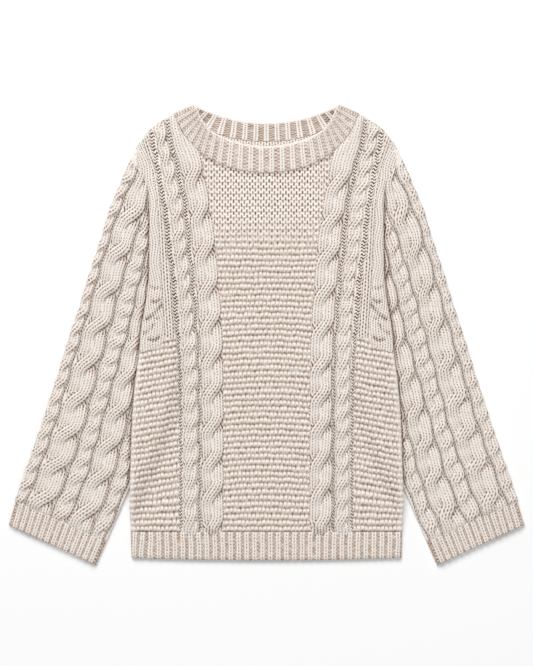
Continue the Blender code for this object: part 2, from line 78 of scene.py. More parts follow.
# Lines that run up the body, as distances from its centre at each height, in millimetres
BODY_LINES = (
    ("height", "garter", "big", "small", "seam", "side"),
    (-277.0, 59.5, 93.8, 119.7, 140.0, 190.0),
    (-227.0, 59.5, 93.8, 119.7, 140.2, 191.0),
    (-176.0, 59.5, 93.8, 119.7, 140.5, 189.6),
    (-111.0, 59.5, 94.0, 120.0, 141.0, 187.0),
    (-75.0, 59.8, 94.3, 120.4, 141.2, 184.0),
    (-42.0, 60.2, 94.8, 121.0, 141.4, 180.0),
    (-26.6, 60.5, 95.4, 121.8, 141.5, 177.8),
    (-5.6, 61.0, 96.5, 123.2, 141.6, 177.8),
    (20.0, 62.3, 98.7, 125.5, 143.0, 177.8),
    (74.0, 66.5, 103.0, 129.5, 146.3, 177.8),
    (127.0, 70.7, 108.5, 136.5, 149.1, 177.8),
    (172.0, 77.7, 112.7, 141.4, 151.5, 177.8),
    (221.0, 86.1, 122.5, 150.5, 157.8, 177.8),
    (256.0, 94.5, 130.9, 156.8, 168.5, 177.8),
    (290.0, 111.3, 139.3, 163.8, 180.0, 190.0),
)
LINES = ("garter", "big", "small", "gutter", "seam", "side")
# How far the lines at a cable's outer side wave, and the length of their waves over a full turn's 2 pi
WAVES = {"big": (1.1 * MM, 8.0 * MM), "small": (0.8 * MM, 4.1 * MM)}
UNDERARM = -5.6 * MM  # height where the armhole seam turns out to the side
ARMPIT = -26.6 * MM  # height where it reaches the side
# Edges that run across, as heights at each distance from the centre, in millimetres
UNDERARM_SEAM = (
    ("across", "height"),
    (141.6, -5.6),
    (144.9, -12.6),
    (151.9, -18.2),
    (163.1, -23.1),
    (177.8, -26.6),
)
SHOULDER = (
    ("across", "height"),
    (129.5, 308.0),
    (151.0, 296.0),
    (164.5, 285.6),
    (175.7, 272.0),
)
FRONT_NECK = (
    ("across", "height"),
    (-30.0, 228.0),
    (0.0, 225.4),
    (30.0, 228.0),
    (65.0, 238.0),
    (84.7, 249.0),
    (103.0, 264.6),
    (118.0, 283.0),
    (129.5, 308.0),
)
BACK_NECK = (
    ("across", "height"),
    (-30.0, 271.5),
    (0.0, 270.0),
    (30.0, 271.5),
    (65.0, 279.5),
    (97.0, 291.5),
    (120.0, 300.5),
    (129.5, 308.0),
)
HEM_SIDE = -313.6 * MM
HEM_DROP = 3.5 * MM  # how much lower the hem hangs at its middle
BODY_BOTTOM = -277.0 * MM

# The two edges of a flattened sleeve and the lines between its cables, in millimetres. "up" runs along
# the outer edge from the cuff's seam, and the cables' borders are distances in from that edge.
SLEEVE_LINES = (
    ("up", "outer_x", "outer_y", "inner_x", "inner_y", "edge", "big", "small", "inner_big", "inner_small"),
    (0.0, 351.8, -231.7, 224.1, -290.1, 16.3, 55.5, 79.0, 116.0, 137.0),
    (58.0, 332.5, -176.4, 196.7, -226.8, 18.0, 58.5, 83.5, 119.5, 141.0),
    (119.0, 312.9, -119.0, 172.2, -172.2, 18.5, 58.5, 81.2, 116.5, 138.5),
    (182.0, 293.3, -58.8, 151.9, -112.0, 16.5, 54.5, 78.5, 112.0, 134.0),
    (238.0, 276.5, -4.2, 140.7, -64.4, 15.8, 52.3, 77.5, 109.0, 130.5),
    (287.0, 261.1, 42.0, 136.5, -22.4, 14.5, 50.5, 76.5, 106.0, 124.0),
    (336.0, 247.1, 88.2, 137.9, 19.6, 13.4, 49.7, 74.5, 103.0, 112.0),
    (385.0, 231.7, 134.4, 142.1, 68.6, 12.5, 49.0, 72.3, 92.0, 98.0),
    (424.0, 220.5, 172.2, 147.0, 117.6, 13.5, 50.0, 70.0, 80.0, 84.0),
    (456.0, 207.9, 203.0, 152.2, 166.6, 14.0, 48.0, 58.0, 62.5, 64.5),
    (493.0, 194.6, 235.9, 159.0, 210.0, 15.0, 34.0, 38.0, 41.0, 42.5),
    (518.0, 183.4, 259.7, 167.0, 243.6, 8.0, 10.0, 12.0, 14.0, 16.0),
)
SLEEVE_LONG = 518.0 * MM
# x and y of the outer and then the inner corner of a cuff's free end, and the cuff's length
CUFF_END = np.array((361.9, -266.7, 238.7, -323.4)) * MM
CUFF_LONG = 36.4 * MM

# The folded head of a sleeve: its outer border at each height, in millimetres
HEAD_BORDER = (
    ("height", "across"),
    (-26.6, 177.8),
    (-9.8, 176.8),
    (11.2, 174.6),
    (22.4, 172.5),
    (43.4, 169.0),
    (54.6, 166.6),
    (75.6, 164.8),
    (131.6, 163.8),
    (166.6, 163.8),
    (196.0, 164.5),
    (214.0, 168.0),
    (228.0, 175.5),
    (240.0, 186.0),
    (250.0, 187.0),
    (262.0, 182.0),
    (269.0, 178.0),
)
# Tucks in the folded head, from end to end, as distance from the centre and height, in millimetres
HEAD_TUCKS = (
    (150.0, 64.0, 162.0, 67.0, 0.6),
    (149.0, 48.0, 159.0, 45.0, 1.0),
    (146.0, 41.0, 167.0, 20.0, 1.2),
    (158.0, 12.0, 171.0, 0.0, 0.8),
    (150.0, -5.0, 163.0, -8.0, 1.0),
    (151.0, 22.0, 158.0, 25.0, 0.6),
)
HEAD_TOP = 269.0 * MM
HEAD_BOTTOM = 6.2 * MM

# The neckband's edges, from its middle to its fold at a shoulder, in millimetres. The sewn edge lies on
# the panel's neck, so its height comes from there.
BAND_LINES = (
    ("step", "front_x", "front_y", "front_sewn", "back_x", "back_y", "back_sewn"),
    (0.0, 0.0, 263.2, 0.0, 0.0, 296.0, 0.0),
    (1.0, 28.5, 266.2, 30.0, 18.0, 296.8, 19.0),
    (2.0, 55.0, 274.0, 60.0, 36.5, 299.2, 39.0),
    (3.0, 76.0, 284.5, 84.7, 55.0, 303.3, 61.0),
    (4.0, 86.5, 296.0, 103.0, 71.0, 308.3, 84.0),
    (5.0, 93.0, 307.0, 118.0, 85.0, 313.5, 106.0),
    (6.0, 97.2, 318.6, 127.9, 97.2, 318.6, 127.9),
)
FOLD_SIDEWAYS, FOLD_UP = 0.42, 0.91  # the way in which the neckband's folds point, on the right side

# Heights of a big cable's crossings on each side, in millimetres. Whole numbers are the crossings.
CROSSINGS = {
    -1: (("height", "number"), (-270.0, 0.0), (-221.0, 1.0), (-176.4, 2.0), (-127.4, 3.0), (-79.8, 4.0),
         (-32.2, 5.0), (16.8, 6.0), (64.4, 7.0), (116.2, 8.0), (169.4, 9.0), (221.2, 10.0), (246.0, 10.46),
         (318.0, 10.49)),
    1: (("height", "number"), (-267.4, 0.0), (-219.8, 1.0), (-175.0, 2.0), (-128.8, 3.0), (-86.8, 4.0),
        (-42.0, 5.0), (9.0, 6.0), (60.0, 7.0), (112.0, 8.0), (161.0, 9.0), (214.2, 10.0), (240.0, 10.46),
        (313.0, 10.49)),
}
SMALL_STEP = {-1: 26.6 * MM, 1: 24.5 * MM}  # from crossing to crossing of the small cables
# How far up a sleeve the crossings of its two big cables lie, from the outer one to the inner one
SLEEVE_CROSSINGS = (
    ("number", "outer", "inner"),
    (-1.0, -31.0, -24.0),
    (0.0, 17.0, 23.0),
    (1.0, 65.0, 70.0),
    (2.0, 113.0, 118.0),
    (3.0, 161.0, 166.0),
    (4.0, 214.0, 217.0),
    (5.0, 271.0, 272.0),
    (6.0, 327.0, 328.0),
    (7.0, 385.0, 385.0),
    (8.0, 439.0, 439.0),
    (9.0, 494.0, 494.0),
    (10.0, 548.0, 548.0),
)
SLEEVE_SMALL_STEP = 25.0 * MM
OUTER_SMALL = 15.0 * MM  # how far the outermost small cable runs round a sleeve's edge
CABLE_GAP = 1.7 * MM  # between the cables of a sleeve

PLAIN, GARTER, BED, RIB = range(4)  # the places of the materials in a piece's slots


# ---------------------------------------------------------------- settings


class SweaterSizes(bpy.types.PropertyGroup):
    big_cable: FloatProperty(
        name="Big cable", description="Height of the big cables", default=6.0 * MM, unit="LENGTH"
    )
    small_cable: FloatProperty(
        name="Small cable", description="Height of the small cables", default=4.4 * MM, unit="LENGTH"
    )
    ridge: FloatProperty(
        name="Garter ridge", description="Height of the garter ridges", default=0.65 * MM, unit="LENGTH"
    )
    rib: FloatProperty(name="Rib", description="Height of the ribs", default=2.0 * MM, unit="LENGTH")
    bed: FloatProperty(
        name="Bed", description="How deep the cloth lies beside the cables", default=1.4 * MM, unit="LENGTH"
    )
    stitch: FloatProperty(
        name="Stitch", description="Height of a single stitch", default=0.9 * MM, unit="LENGTH"
    )


class SweaterColours(bpy.types.PropertyGroup):
    yarn: FloatVectorProperty(
        name="Yarn", description="Lit side of the yarn", default=(0.9, 0.852, 0.81), subtype="COLOR"
    )
    # Shade and Hollow are painted shade: the yarn is darkened towards them where it lies lower and in the
    # depths between the stitches.
    shade: FloatVectorProperty(
        name="Shade", description="Yarn that lies lower", default=(0.44, 0.325, 0.25), subtype="COLOR"
    )
    hollow: FloatVectorProperty(
        name="Hollow", description="Depth between the stitches", default=(0.12, 0.072, 0.043), subtype="COLOR"
    )
    floor: FloatVectorProperty(
        name="Floor", description="The surface below", default=(0.97, 0.97, 0.97), subtype="COLOR"
    )


def sizes():
    return bpy.context.scene.sweater_sizes


def colours():
    return bpy.context.scene.sweater_colours


# ---------------------------------------------------------------- curves and forms


@functools.lru_cache(maxsize=None)
def columns(table, along, name):
    """Two named columns of a table, in metres, with the slope of the second along the first."""
    xs, ys = (np.array([row[table[0].index(title)] for row in table[1:]]) * MM for title in (along, name))
    if xs[0] > xs[-1]:
        xs, ys = xs[::-1], ys[::-1]
    return xs, ys, np.gradient(ys, xs)


def read(table, along, name, x):
    """A smooth curve through a table's column, read at places along another column, in metres."""
    xs, ys, slopes = columns(table, along, name)
    x = np.clip(x, xs[0], xs[-1])
    place = np.clip(np.searchsorted(xs, x, side="right") - 1, 0, len(xs) - 2)
    width = xs[place + 1] - xs[place]
    share = (x - xs[place]) / width
    rest = 1.0 - share
    blend = smooth(share)
    bend = share * rest * (slopes[place] * rest - slopes[place + 1] * share)
    return ys[place] * (1.0 - blend) + ys[place + 1] * blend + width * bend


def smooth(value):
    """0 below 0, 1 above 1, and an even S between them."""
    value = np.clip(value, 0.0, 1.0)
    return value * value * (3.0 - 2.0 * value)


def between(start, end, share):
    """The value at a share of the way from start to end."""
    return start + (end - start) * share


def bell(distance, width):
    """1 at no distance, falling away evenly on both sides."""
    return np.exp(-((distance / width) ** 2))


def nose(distance, reach=NOSE):
    """How full the cloth is at a distance from an edge it rounds over: 0 at the edge, 1 past its reach."""
    left = 1.0 - np.clip(distance, 0.0, reach) / reach
    return np.sqrt(np.maximum(0.0, 1.0 - left * left))


def wobble(x, y, scale, seed):
    """A soft unevenness between -1 and 1, without a pattern that repeats over the cloth."""
    a, b = x / scale + 1.7 * seed, y / scale - 2.3 * seed
    return (
        np.sin(1.0 * a + 0.6 * b + seed)
        + np.sin(-0.8 * a + 1.3 * b + 2.1 * seed)
        + np.sin(1.9 * a + 0.37 * b + 0.7 * np.sin(1.1 * b))
        + np.sin(0.53 * a - 2.1 * b + 0.9 * np.sin(0.8 * a))
    ) / 4.0


def body_line(name, height):
    """Distance of one of the body's lines from its centre at a height. Those beside cables wave a little."""
    if name == "gutter":
        return body_line("small", height) + gutter_half(height)
    tall, long = WAVES.get(name, (0.0, MM))
    return read(BODY_LINES, "height", name, height) + tall * np.sin(height / long)


def gutter_half(height):
    """Half the width of the ladder outside a small cable, which is wider beside the armhole."""
    return 2.5 * MM + 2.0 * MM * smooth((height + 30.0 * MM) / (60.0 * MM))


def inner_half(height):
    """Half the width of the ladder between the two cables of one side."""
    return 1.4 * MM + 1.4 * MM * smooth((height + 20.0 * MM) / (80.0 * MM))


def top_edge(neck, across):
    """Height of a panel's top edge: its neck, then its shoulder."""
    heights = (read(table, "across", "height", across) for table in (SHOULDER, neck))
    return np.where(across > SHOULDER[1][0] * MM, *heights)


def armhole(across):
    """Height of the armhole's seam below the arm, at a distance from the centre."""
    return read(UNDERARM_SEAM, "across", "height", across)


def shoulder_fade(y):
    """1 where a sleeve is tucked under the body, falling to 0 towards the shoulder."""
    return smooth((262.0 * MM - y) / (100.0 * MM))


def lift(x, y, ramp):
    """How high a body panel is raised at a point, over a tucked sleeve and on the ramp that leads to it."""
    depth = np.abs(x) - read(SLEEVE_LINES, "inner_y", "inner_x", y)
    return LIFT * shoulder_fade(y) * smooth((depth + ramp) / (ramp - 3.0 * MM))


def body_edge(x, y):
    """Distance of a point of a body panel from the nearest edge that rounds over."""
    far = np.abs(x)
    low = (y < UNDERARM) & (far > body_line("seam", y))
    side = np.where(low, body_line("side", y) - far, 1.0)
    shoulder = 0.86 * (read(SHOULDER, "across", "height", far) - y)
    return np.where(far < SHOULDER[1][0] * MM, side, np.minimum(side, shoulder))


def front_skin(x, y):
    """Height of the front's outside without its knit."""
    full = between(0.3, 1.0, nose(body_edge(x, y)))
    return lift(x, y, FRONT_RAMP) + WALL + AIR + WALL * full + 0.5 * MM * wobble(x, y, 60.0 * MM, 1.0)


def ridge_phase(x, y):
    """Number of garter ridges below a point: whole numbers are the crests."""
    far = np.abs(x)
    up = smooth((y - BODY_BOTTOM) / (80.0 * MM))
    middle = 3.0 * MM * (1.0 - (far / (60.0 * MM)) ** 2) * smooth((120.0 * MM - y) / (160.0 * MM)) * up
    side = 13.0 * MM * (190.0 * MM - far) / (70.0 * MM) * up
    sag = np.where(far < body_line("big", y), middle, side)
    return (y - BODY_BOTTOM - sag + 0.5 * MM * wobble(x, y, 25.0 * MM, 4.0)) / RIDGE - 0.5


# ---------------------------------------------------------------- building cloth

LAYERS = ("column", "row", "part", "side")  # whole numbers that a vertex carries while its piece is made


def new_grids():
    """A bmesh whose vertices can carry their place in a grid."""
    bm = bmesh.new()
    for name in LAYERS:
        bm.verts.layers.int.new(name)
    return bm


def add_grid(bm, across, along, part=0):
    """Adds a flat grid whose vertices carry their column, row and part."""
    made = bmesh.ops.create_grid(bm, x_segments=across, y_segments=along, size=0.5)["verts"]
    layers = [bm.verts.layers.int[name] for name in LAYERS[:3]]
    for vertex in made:
        column, row = round((vertex.co.x + 0.5) * across), round((vertex.co.y + 0.5) * along)
        for layer, value in zip(layers, (column, row, part)):
            vertex[layer] = value


def settle(name, bm, place, dress, materials, rolled=None, ends=False, hidden=1.0):
    """An object from grids.

    place gives x, y and z of its vertices. dress gives each face's knit, each corner's u and v in the
    knit's pattern, and how much painted shade the knit's holes carry there, which above 1 also lays a
    smooth painted shade over the knit. rolled is the last column of grids that are rolled into tubes,
    ends closes their ends, and hidden is the share of the faces that stays on the inner side.
    """
    mesh = bpy.data.meshes.new(name)
    bm.to_mesh(mesh)
    bm.free()
    marks = []
    for title in LAYERS:
        marks.append(np.empty(len(mesh.vertices), np.int32))
        mesh.attributes[title].data.foreach_get("value", marks[-1])
    column, row, part, side = marks
    points = np.stack(place(column, row, part, side == 1), axis=-1)
    mesh.vertices.foreach_set("co", points.ravel())
    corner = np.empty(len(mesh.loops), np.int32)
    mesh.loops.foreach_get("vertex_index", corner)
    corner = corner.reshape(-1, 4)
    kind, *pattern = dress(*(value[corner] for value in (column, row, part, side == 1, points)))
    u, v, gap = (np.broadcast_to(value, corner.shape) for value in pattern)
    mesh.uv_layers.new(name="stitches").data.foreach_set("uv", np.stack((u, v), axis=-1).ravel())
    # gap carries the painted shade of the knit's holes and hollows.
    mesh.attributes.new("gap", "FLOAT", "CORNER").data.foreach_set("value", gap.ravel())
    mesh.polygons.foreach_set("material_index", np.broadcast_to(kind, len(corner)).astype(np.int32))
    bm = bmesh.new()
    bm.from_mesh(mesh)
    if rolled:
        layer = bm.verts.layers.int["column"]
        meeting = [vertex for vertex in bm.verts if vertex[layer] in (0, rolled)]
        bmesh.ops.remove_doubles(bm, verts=meeting, dist=1e-6)
    if ends:
        bmesh.ops.dissolve_degenerate(bm, dist=2e-5, edges=bm.edges)
        bmesh.ops.holes_fill(bm, edges=bm.edges, sides=0)
    bmesh.ops.recalc_face_normals(bm, faces=bm.faces)
    if hidden < 1.0:
        inner = bm.verts.layers.int["side"]
        weights = bm.verts.layers.deform.verify()
        for vertex in bm.verts:
            vertex[weights][0] = float(vertex[inner])
    bm.to_mesh(mesh)
    bm.free()
    for title in LAYERS:
        mesh.attributes.remove(mesh.attributes[title])
    for material in materials:
        mesh.materials.append(material)
    mesh.shade_smooth()
    made = bpy.data.objects.new(name, mesh)
    bpy.context.scene.collection.objects.link(made)
    if hidden < 1.0:
        made.vertex_groups.new(name="Hidden side")
        thin = made.modifiers.new("Thin hidden side", "DECIMATE")
        thin.ratio = 0.5 + 0.5 * hidden
        thin.vertex_group = "Hidden side"
        thin.vertex_group_factor = 1e-5
    return made


def put_in_order(bm, across, along):
    """Sorts a wall's vertices, edges and faces by place, because an extrusion's sides come in any order."""
    column, row, _, side = (bm.verts.layers.int[title] for title in LAYERS)
    bm.verts.sort(key=lambda spot: (spot[side] * (along + 1) + spot[row]) * (across + 1) + spot[column])
    bm.verts.index_update()

    def place(item):
        corners = [vertex.index for vertex in item.verts]
        return len(bm.verts) * min(corners) + max(corners)

    bm.edges.sort(key=place)
    bm.faces.sort(key=place)


def wall(name, across, along, place, dress, skip=None, rolled=False, hidden=1.0):
    """A closed wall of cloth: place(column, row, inside) gives the points of its two sides."""
    bm = new_grids()
    add_grid(bm, across, along)
    column, row, _, side = (bm.verts.layers.int[title] for title in LAYERS)
    if skip:
        unused = []
        for face in bm.faces:
            if skip(*(min(vertex[layer] for vertex in face.verts) for layer in (column, row))):
                unused.append(face)
        bmesh.ops.delete(bm, geom=unused, context="FACES")
    for item in bmesh.ops.extrude_face_region(bm, geom=bm.faces[:])["geom"]:
        if isinstance(item, bmesh.types.BMVert):
            item[side] = 1
    put_in_order(bm, across, along)

    def points(column, row, part, inside):
        found = np.empty((3, len(column)))
        for within in (True, False):
            which = inside == within
            for axis, value in enumerate(place(column[which], row[which], within)):
                found[axis, which] = value
        return found

    return settle(name, bm, points, dress, knits(), rolled=across if rolled else None, hidden=hidden)


def sew_in(*pieces):
    """Every piece rides on the sweater's one body."""
    for piece in pieces:
        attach(piece, "root")


# ---------------------------------------------------------------- cables

AROUND = 14  # columns of faces over the top of a strand
BELOW = 2  # columns of faces on its underside
SWAY = 0.42  # how far a strand's centre moves from its cable's, where 1 is half the cable's width
DIVE = 0.45  # the strand that passes below crosses in this share of the other's way
STEP = 0.002  # share of a cable's length over which its strands' slope is measured


def strand_course(turns, which, swing):
    """Where a strand's centre lies in its cable, and how far over (or under) the other strand it is."""
    number = np.floor(turns + 0.5)
    climbs = (number + which) % 2 == 0
    step = np.clip((turns - number) / np.where(climbs, swing, DIVE * swing) + 0.5, 0.0, 1.0)
    near = np.cos(np.pi * np.clip((turns - number) * 1.15, -0.5, 0.5))
    return np.where(climbs, -SWAY, SWAY) * np.cos(np.pi * step), np.where(climbs, near, -(near**1.7))


def kept_in(across):
    """A place across a cable, whose borders are -1 and 1, softly kept inside them."""
    free, soft = 0.8, 0.26
    past = np.maximum(np.abs(across) - free, 0.0)
    return np.clip(across, -free, free) + np.sign(across) * soft * (1.0 - np.exp(-past / soft))


def strand_section(column, centre):
    """Across (-1 to 1) and height (0 to 1) of the places round a strand. It is flatter on its inner side."""
    column = column % (AROUND + BELOW)
    top = column <= AROUND
    across = np.where(top, -np.cos(np.pi * column / AROUND), 1.0 - 2.0 * (column - AROUND) / BELOW)
    across = np.clip(across, -1.0, 1.0)
    power = 2.9 + np.where(across * centre < 0.0, 3.7 * np.abs(centre) / SWAY, 0.0)
    return across, np.where(top, (1.0 - np.abs(across) ** power) ** 0.62, 0.0)


def make_cables(name, cables, start, long, rows, point, painted_shadow=lambda x, y: 0.0):
    """All the strands of a piece's cables, two for each cable.

    A cable has a lower and an upper border and its number of turns, which are functions of the place
    along it, the height of its strands, the share of a turn in which they cross, how wide they are, and
    how much narrower at a crossing. point(across, along, height) puts a place onto the piece, and the
    last argument, a function of x and y, gives how much shadow is painted on a place, beside an edge that
    lies over it.
    """
    bm = new_grids()
    for part in range(2 * len(cables)):
        add_grid(bm, AROUND + BELOW, rows, part)

    def course(along, part):
        """The strands' cables at each place, how wide the strands are and where they lie in their cable."""
        values = {key: np.empty(along.shape) for key in cables[0]}
        for number, cable in enumerate(cables):
            mine = part // 2 == number
            for key, value in cable.items():
                values[key][mine] = value(along[mine]) if callable(value) else value
        here = SimpleNamespace(**values)
        here.centre, here.over = strand_course(here.turns, part % 2, here.swing)
        here.middle, here.half = (here.low + here.high) / 2, (here.high - here.low) / 2
        crossing = np.cos(np.pi * (here.turns - np.round(here.turns))) ** 2
        lower = np.minimum(here.fat + SWAY - np.abs(here.centre), 1.04)
        here.wide = np.abs(here.half) * np.where(here.over > 0, here.fat - here.pinch * crossing, lower)
        return here

    def place(column, row, part, inside):
        along, step = start + long * row / rows, STEP * long
        here, before, after = (course(along + shift, part) for shift in (0.0, -step, step))
        slope = (after.middle - before.middle + here.half * (after.centre - before.centre)) / (2.0 * step)
        across, rise = strand_section(column, here.centre)
        wide = here.wide * across
        level = 0.66 + np.where(here.over > 0, 0.50, 0.46) * here.over
        sink = np.where(column % (AROUND + BELOW) <= AROUND, 0.8 * MM * (1.0 - rise), 1.0 * MM)
        straight = np.hypot(1.0, slope)
        spot = here.middle + here.half * kept_in(here.centre + wide / straight / here.half)
        return point(spot, along - wide * slope / straight, here.height * level * rise - sink)

    def dress(column, row, part, inside, points):
        length = long * row / rows
        here = course(start + length, part)
        across, rise = strand_section(column, here.centre)
        # The strands' holes carry painted shade, stronger on the strand that passes over. More shade is
        # painted at the rims beside the gutters, on the strand that dives under the other, most below the
        # crossing, and beside an edge that lies over the cable.
        rim = np.clip(across * np.sign(here.centre), 0.0, 1.0)
        dive_shade = np.where(here.turns < np.round(here.turns), 1.1, 0.5)
        gap = 0.46 + 0.36 * np.clip(here.over, 0.0, 1.0) + 0.4 * rim**2
        gap = gap + dive_shade * np.clip(-here.over, 0.0, 1.0) ** 2 + painted_shadow(points[..., 0], points[..., 1])
        return PLAIN, here.wide * across / CABLE_STITCH, length / ROW, gap

    return settle(name, bm, place, dress, knits()[:1], rolled=AROUND + BELOW, ends=True)


# ---------------------------------------------------------------- wool


class Value:
    """What a material's node gives at each point. Sums with it become math nodes."""

    def __init__(self, node, output=0):
        self.tree, self.socket = node.id_data, node.outputs[output]

    def math(self, operation, *others):
        return Value(add_node(self.tree, "ShaderNodeMath", enumerate((self, *others)), operation=operation))

    def __add__(self, other):
        return self.math("ADD", other)

    def __sub__(self, other):
        return self.math("SUBTRACT", other)

    def __rsub__(self, other):
        return self.math("MULTIPLY_ADD", -1.0, other)

    def __mul__(self, other):
        return self.math("MULTIPLY", other)

    def __abs__(self):
        return self.math("ABSOLUTE")

    def cosine(self):
        """From 1 at whole numbers to -1 halfway between them."""
        return (self * (2.0 * math.pi)).math("COSINE")

    def wave(self):
        """1 at whole numbers and 0 halfway between them."""
        return self.cosine() * 0.5 + 0.5

    def peak(self, sharpness):
        """Narrow peaks of 1 at whole numbers."""
        return self.wave().math("POWER", sharpness)

    def from_half(self):
        """Distance from halfway between whole numbers: 0 there and 0.5 at them."""
        return abs(self.math("FRACT") - 0.5)

    def ramp(self, low, high):
        """0 at low, 1 at high, and an even S between them."""
        inputs = {"Value": self, "From Min": low, "From Max": high}
        return Value(add_node(self.tree, "ShaderNodeMapRange", inputs, interpolation_type="SMOOTHSTEP"))

    def noise(self, scale, detail):
        inputs = {"Vector": self, "Scale": scale, "Detail": detail}
        return Value(add_node(self.tree, "ShaderNodeTexNoise", inputs))

    def x_and_y(self):
        node = add_node(self.tree, "ShaderNodeSeparateXYZ", {0: self})
        return Value(node, 0), Value(node, 1)

    def mix(self, first, second):
        """The first colour at 0, the second at 1."""
        first, second = (item if isinstance(item, Value) else (*item, 1.0) for item in (first, second))
        inputs = {0: self, 6: first, 7: second}
        return Value(add_node(self.tree, "ShaderNodeMix", inputs, data_type="RGBA"), 2)


def fill(node, inputs):
    """Joins values to a node's inputs, or sets plain numbers and colours on them."""
    for key, value in dict(inputs).items():
        if isinstance(value, Value):
            node.id_data.links.new(value.socket, node.inputs[key])
        else:
            node.inputs[key].default_value = value


def add_node(tree, kind, inputs=(), **settings):
    """A new node of a material, with its inputs joined or set."""
    node = tree.nodes.new(kind)
    for name, value in settings.items():
        setattr(node, name, value)
    fill(node, inputs)
    return node


def plain_knit(u, v):
    """Height and painted shade of plain knit: columns of V shaped stitches, with shade painted into the holes
    between the columns.
    """
    legs = (v - u.from_half()).wave()
    groove, centre = u.peak(2.0), (u + 0.5).peak(5.0)
    holes = groove * (((u + 0.5).math("FLOOR") * 0.5 + v).wave() * 0.95 + 0.2)
    leg = 1.0 - (groove * 0.7 + centre * 0.25)
    return leg * (legs * 0.35 + 0.65), (1.0 - legs) * 0.12 + holes


def garter_knit(u, v):
    """Height and painted shade of garter knit: ridges of bumps whose loops lock into those of the next, with
    shade painted in the valleys and the holes between them.
    """
    number = (v + 0.5).math("FLOOR")
    loop = (number * 2.4).math("SINE") * 0.3 + u
    zigzag = loop.cosine() * 0.12
    valley = (zigzag * 0.6 + v + 0.5).peak(1.8)
    threads = (loop * 2.0).wave() * 0.36 + 0.43
    holes = ((v - number) * -0.5 + loop).peak(2.2) * (v + 0.04).peak(1.3)
    fine = valley * threads + holes * 0.44
    # Long loops stand in rows of bricks at the upper centre of the chest, with shade painted between them
    first, second = (
        (u * 0.74 + part).peak(4.6) * ((v + part).from_half().ramp(0.37, 0.24) * 0.9) for part in (0.0, 0.5)
    )
    x, y = Value(add_node(u.tree, "ShaderNodeTexCoord"), "Object").x_and_y()
    chest = y.ramp(0.1, 0.18) * (abs(x).ramp(0.1, 0.05) * 0.5 + 0.5)
    return (v + zigzag).wave(), fine + chest * (first.math("MAXIMUM", second) - fine)


def ladder_knit(u, v):
    """Height and painted shade of the purl beside the cables: wavy rungs of painted shade from u = -1 to u =
    1, where the purl lies deep between the cables.
    """
    wavy = (u * 4.6 + 0.5).math("SINE")
    rung_shade = abs(u).ramp(1.05, 0.55) * (wavy * 0.27 + v).peak(1.6)
    threads = (u * 0.3 + v).wave() * 0.24 + 0.05
    dark = (rung_shade * 1.5).math("MAXIMUM", threads)
    return 1.0 - dark, dark


def rib_knit(u, v):
    """Height and painted shade of rib knit: a column of V stitches at each whole number, purl between them,
    with shade painted into the purl and the holes.
    """
    away = (u + 0.5).from_half()
    legs = abs(away - 0.16).ramp(0.13, 0.03)
    middle = away.ramp(0.12, 0.02) * ((v * 0.8).wave() * 0.6 + 0.18)
    purl = 1.0 - away.ramp(0.30, 0.24)
    across, up = u * 2.2, v * 0.7
    holes = across.wave() * up.wave() + (across + 0.5).wave() * (up + 0.5).wave()
    return legs * 0.8 + purl * ((1.0 - holes) * 0.5), purl * (holes * 0.66 + 0.26) + middle


def wool(name, pattern, sway, painted_light):
    """Oatmeal wool in one kind of knit, read from the piece's own map of stitches.

    sway is how unevenly its columns run, and the last number how much lighter its yarn is painted, a painted
    highlight on its loops.
    """
    material = bpy.data.materials.new(name)
    material.use_nodes = True
    tree = material.node_tree
    stitches = Value(add_node(tree, "ShaderNodeUVMap", uv_map="stitches"))
    spot = Value(add_node(tree, "ShaderNodeTexCoord"), "Object")
    shift = stitches.noise(0.45, 1.0) * sway - 0.5 * sway
    height, dark = pattern(*(value + shift for value in stitches.x_and_y()))
    gap = Value(add_node(tree, "ShaderNodeAttribute", attribute_name="gap"), "Fac")
    loose = stitches.noise(1.3, 0.0) * 1.4 + 0.3
    # Where gap passes 1, a smooth painted shade is laid over the knit, in pockets and folds where shade
    # falls.
    pocket_shade = (gap - 1.0).math("MAXIMUM", 0.0) * 0.45
    dark = dark * gap.math("MINIMUM", 1.1) * loose + pocket_shade
    fibres = spot.noise(900.0, 2.0)
    mottled = fibres * 0.7 + spot.noise(22.0, 2.0) * 0.3
    paint = colours()
    # Some knits have their yarn painted lighter: a painted highlight on their loops.
    pale = [value * painted_light for value in paint.yarn]
    tan = [value * share for value, share in zip(pale, (0.95, 0.925, 0.90))]
    colour = mottled.ramp(0.3, 0.7).mix(tan, pale)
    # The yarn is darkened towards the painted shade colour, then towards the painted shade of the hollows.
    colour = dark.ramp(-0.03, 0.66).mix(colour, paint.shade)
    colour = dark.ramp(0.5, 1.15).mix(colour, paint.hollow)
    relief = {"Distance": sizes().stitch, "Height": fibres * 0.15 + height}
    finish = {
        "Base Color": colour,
        "Normal": Value(add_node(tree, "ShaderNodeBump", relief)),
        "Roughness": 0.95,
        "Specular IOR Level": 0.15,
        "Sheen Weight": 0.2,
        "Sheen Roughness": 0.45,
        "Sheen Tint": (1.0, 0.97, 0.93, 1.0),
    }
    fill(tree.nodes["Principled BSDF"], finish)
    return material


def knits():
    """The four kinds of knit, in the order of their places, made once."""
    # The last number of each kind paints its yarn lighter, a painted highlight on its loops.
    kinds = (
        ("plain knit", plain_knit, 0.55, 1.0),
        ("garter knit", garter_knit, 0.5, 1.04),
        ("purl ladder", ladder_knit, 0.6, 1.05),
        ("rib knit", rib_knit, 0.07, 1.06),
    )
    return [bpy.data.materials.get(kind[0]) or wool(*kind) for kind in kinds]


# ---------------------------------------------------------------- the body

BANDS = (  # columns of faces between the body's lines, on each side
    ("centre", "garter", 30),
    ("garter", "big", 12),
    ("big", "small", 10),
    ("small", "gutter", 3),
    ("gutter", "seam", 9),
    ("seam", "side", 20),
)
LOWER_RIDGES, UPPER_RIDGES = 33, 30  # garter ridges below and above the underarm
PAST = 0.05 * MM  # how far a panel reaches past its outline, into the seams
CABLE_FOOT, CABLE_TOP = BODY_BOTTOM - 4.0 * MM, 318.0 * MM  # ends of the body's cables


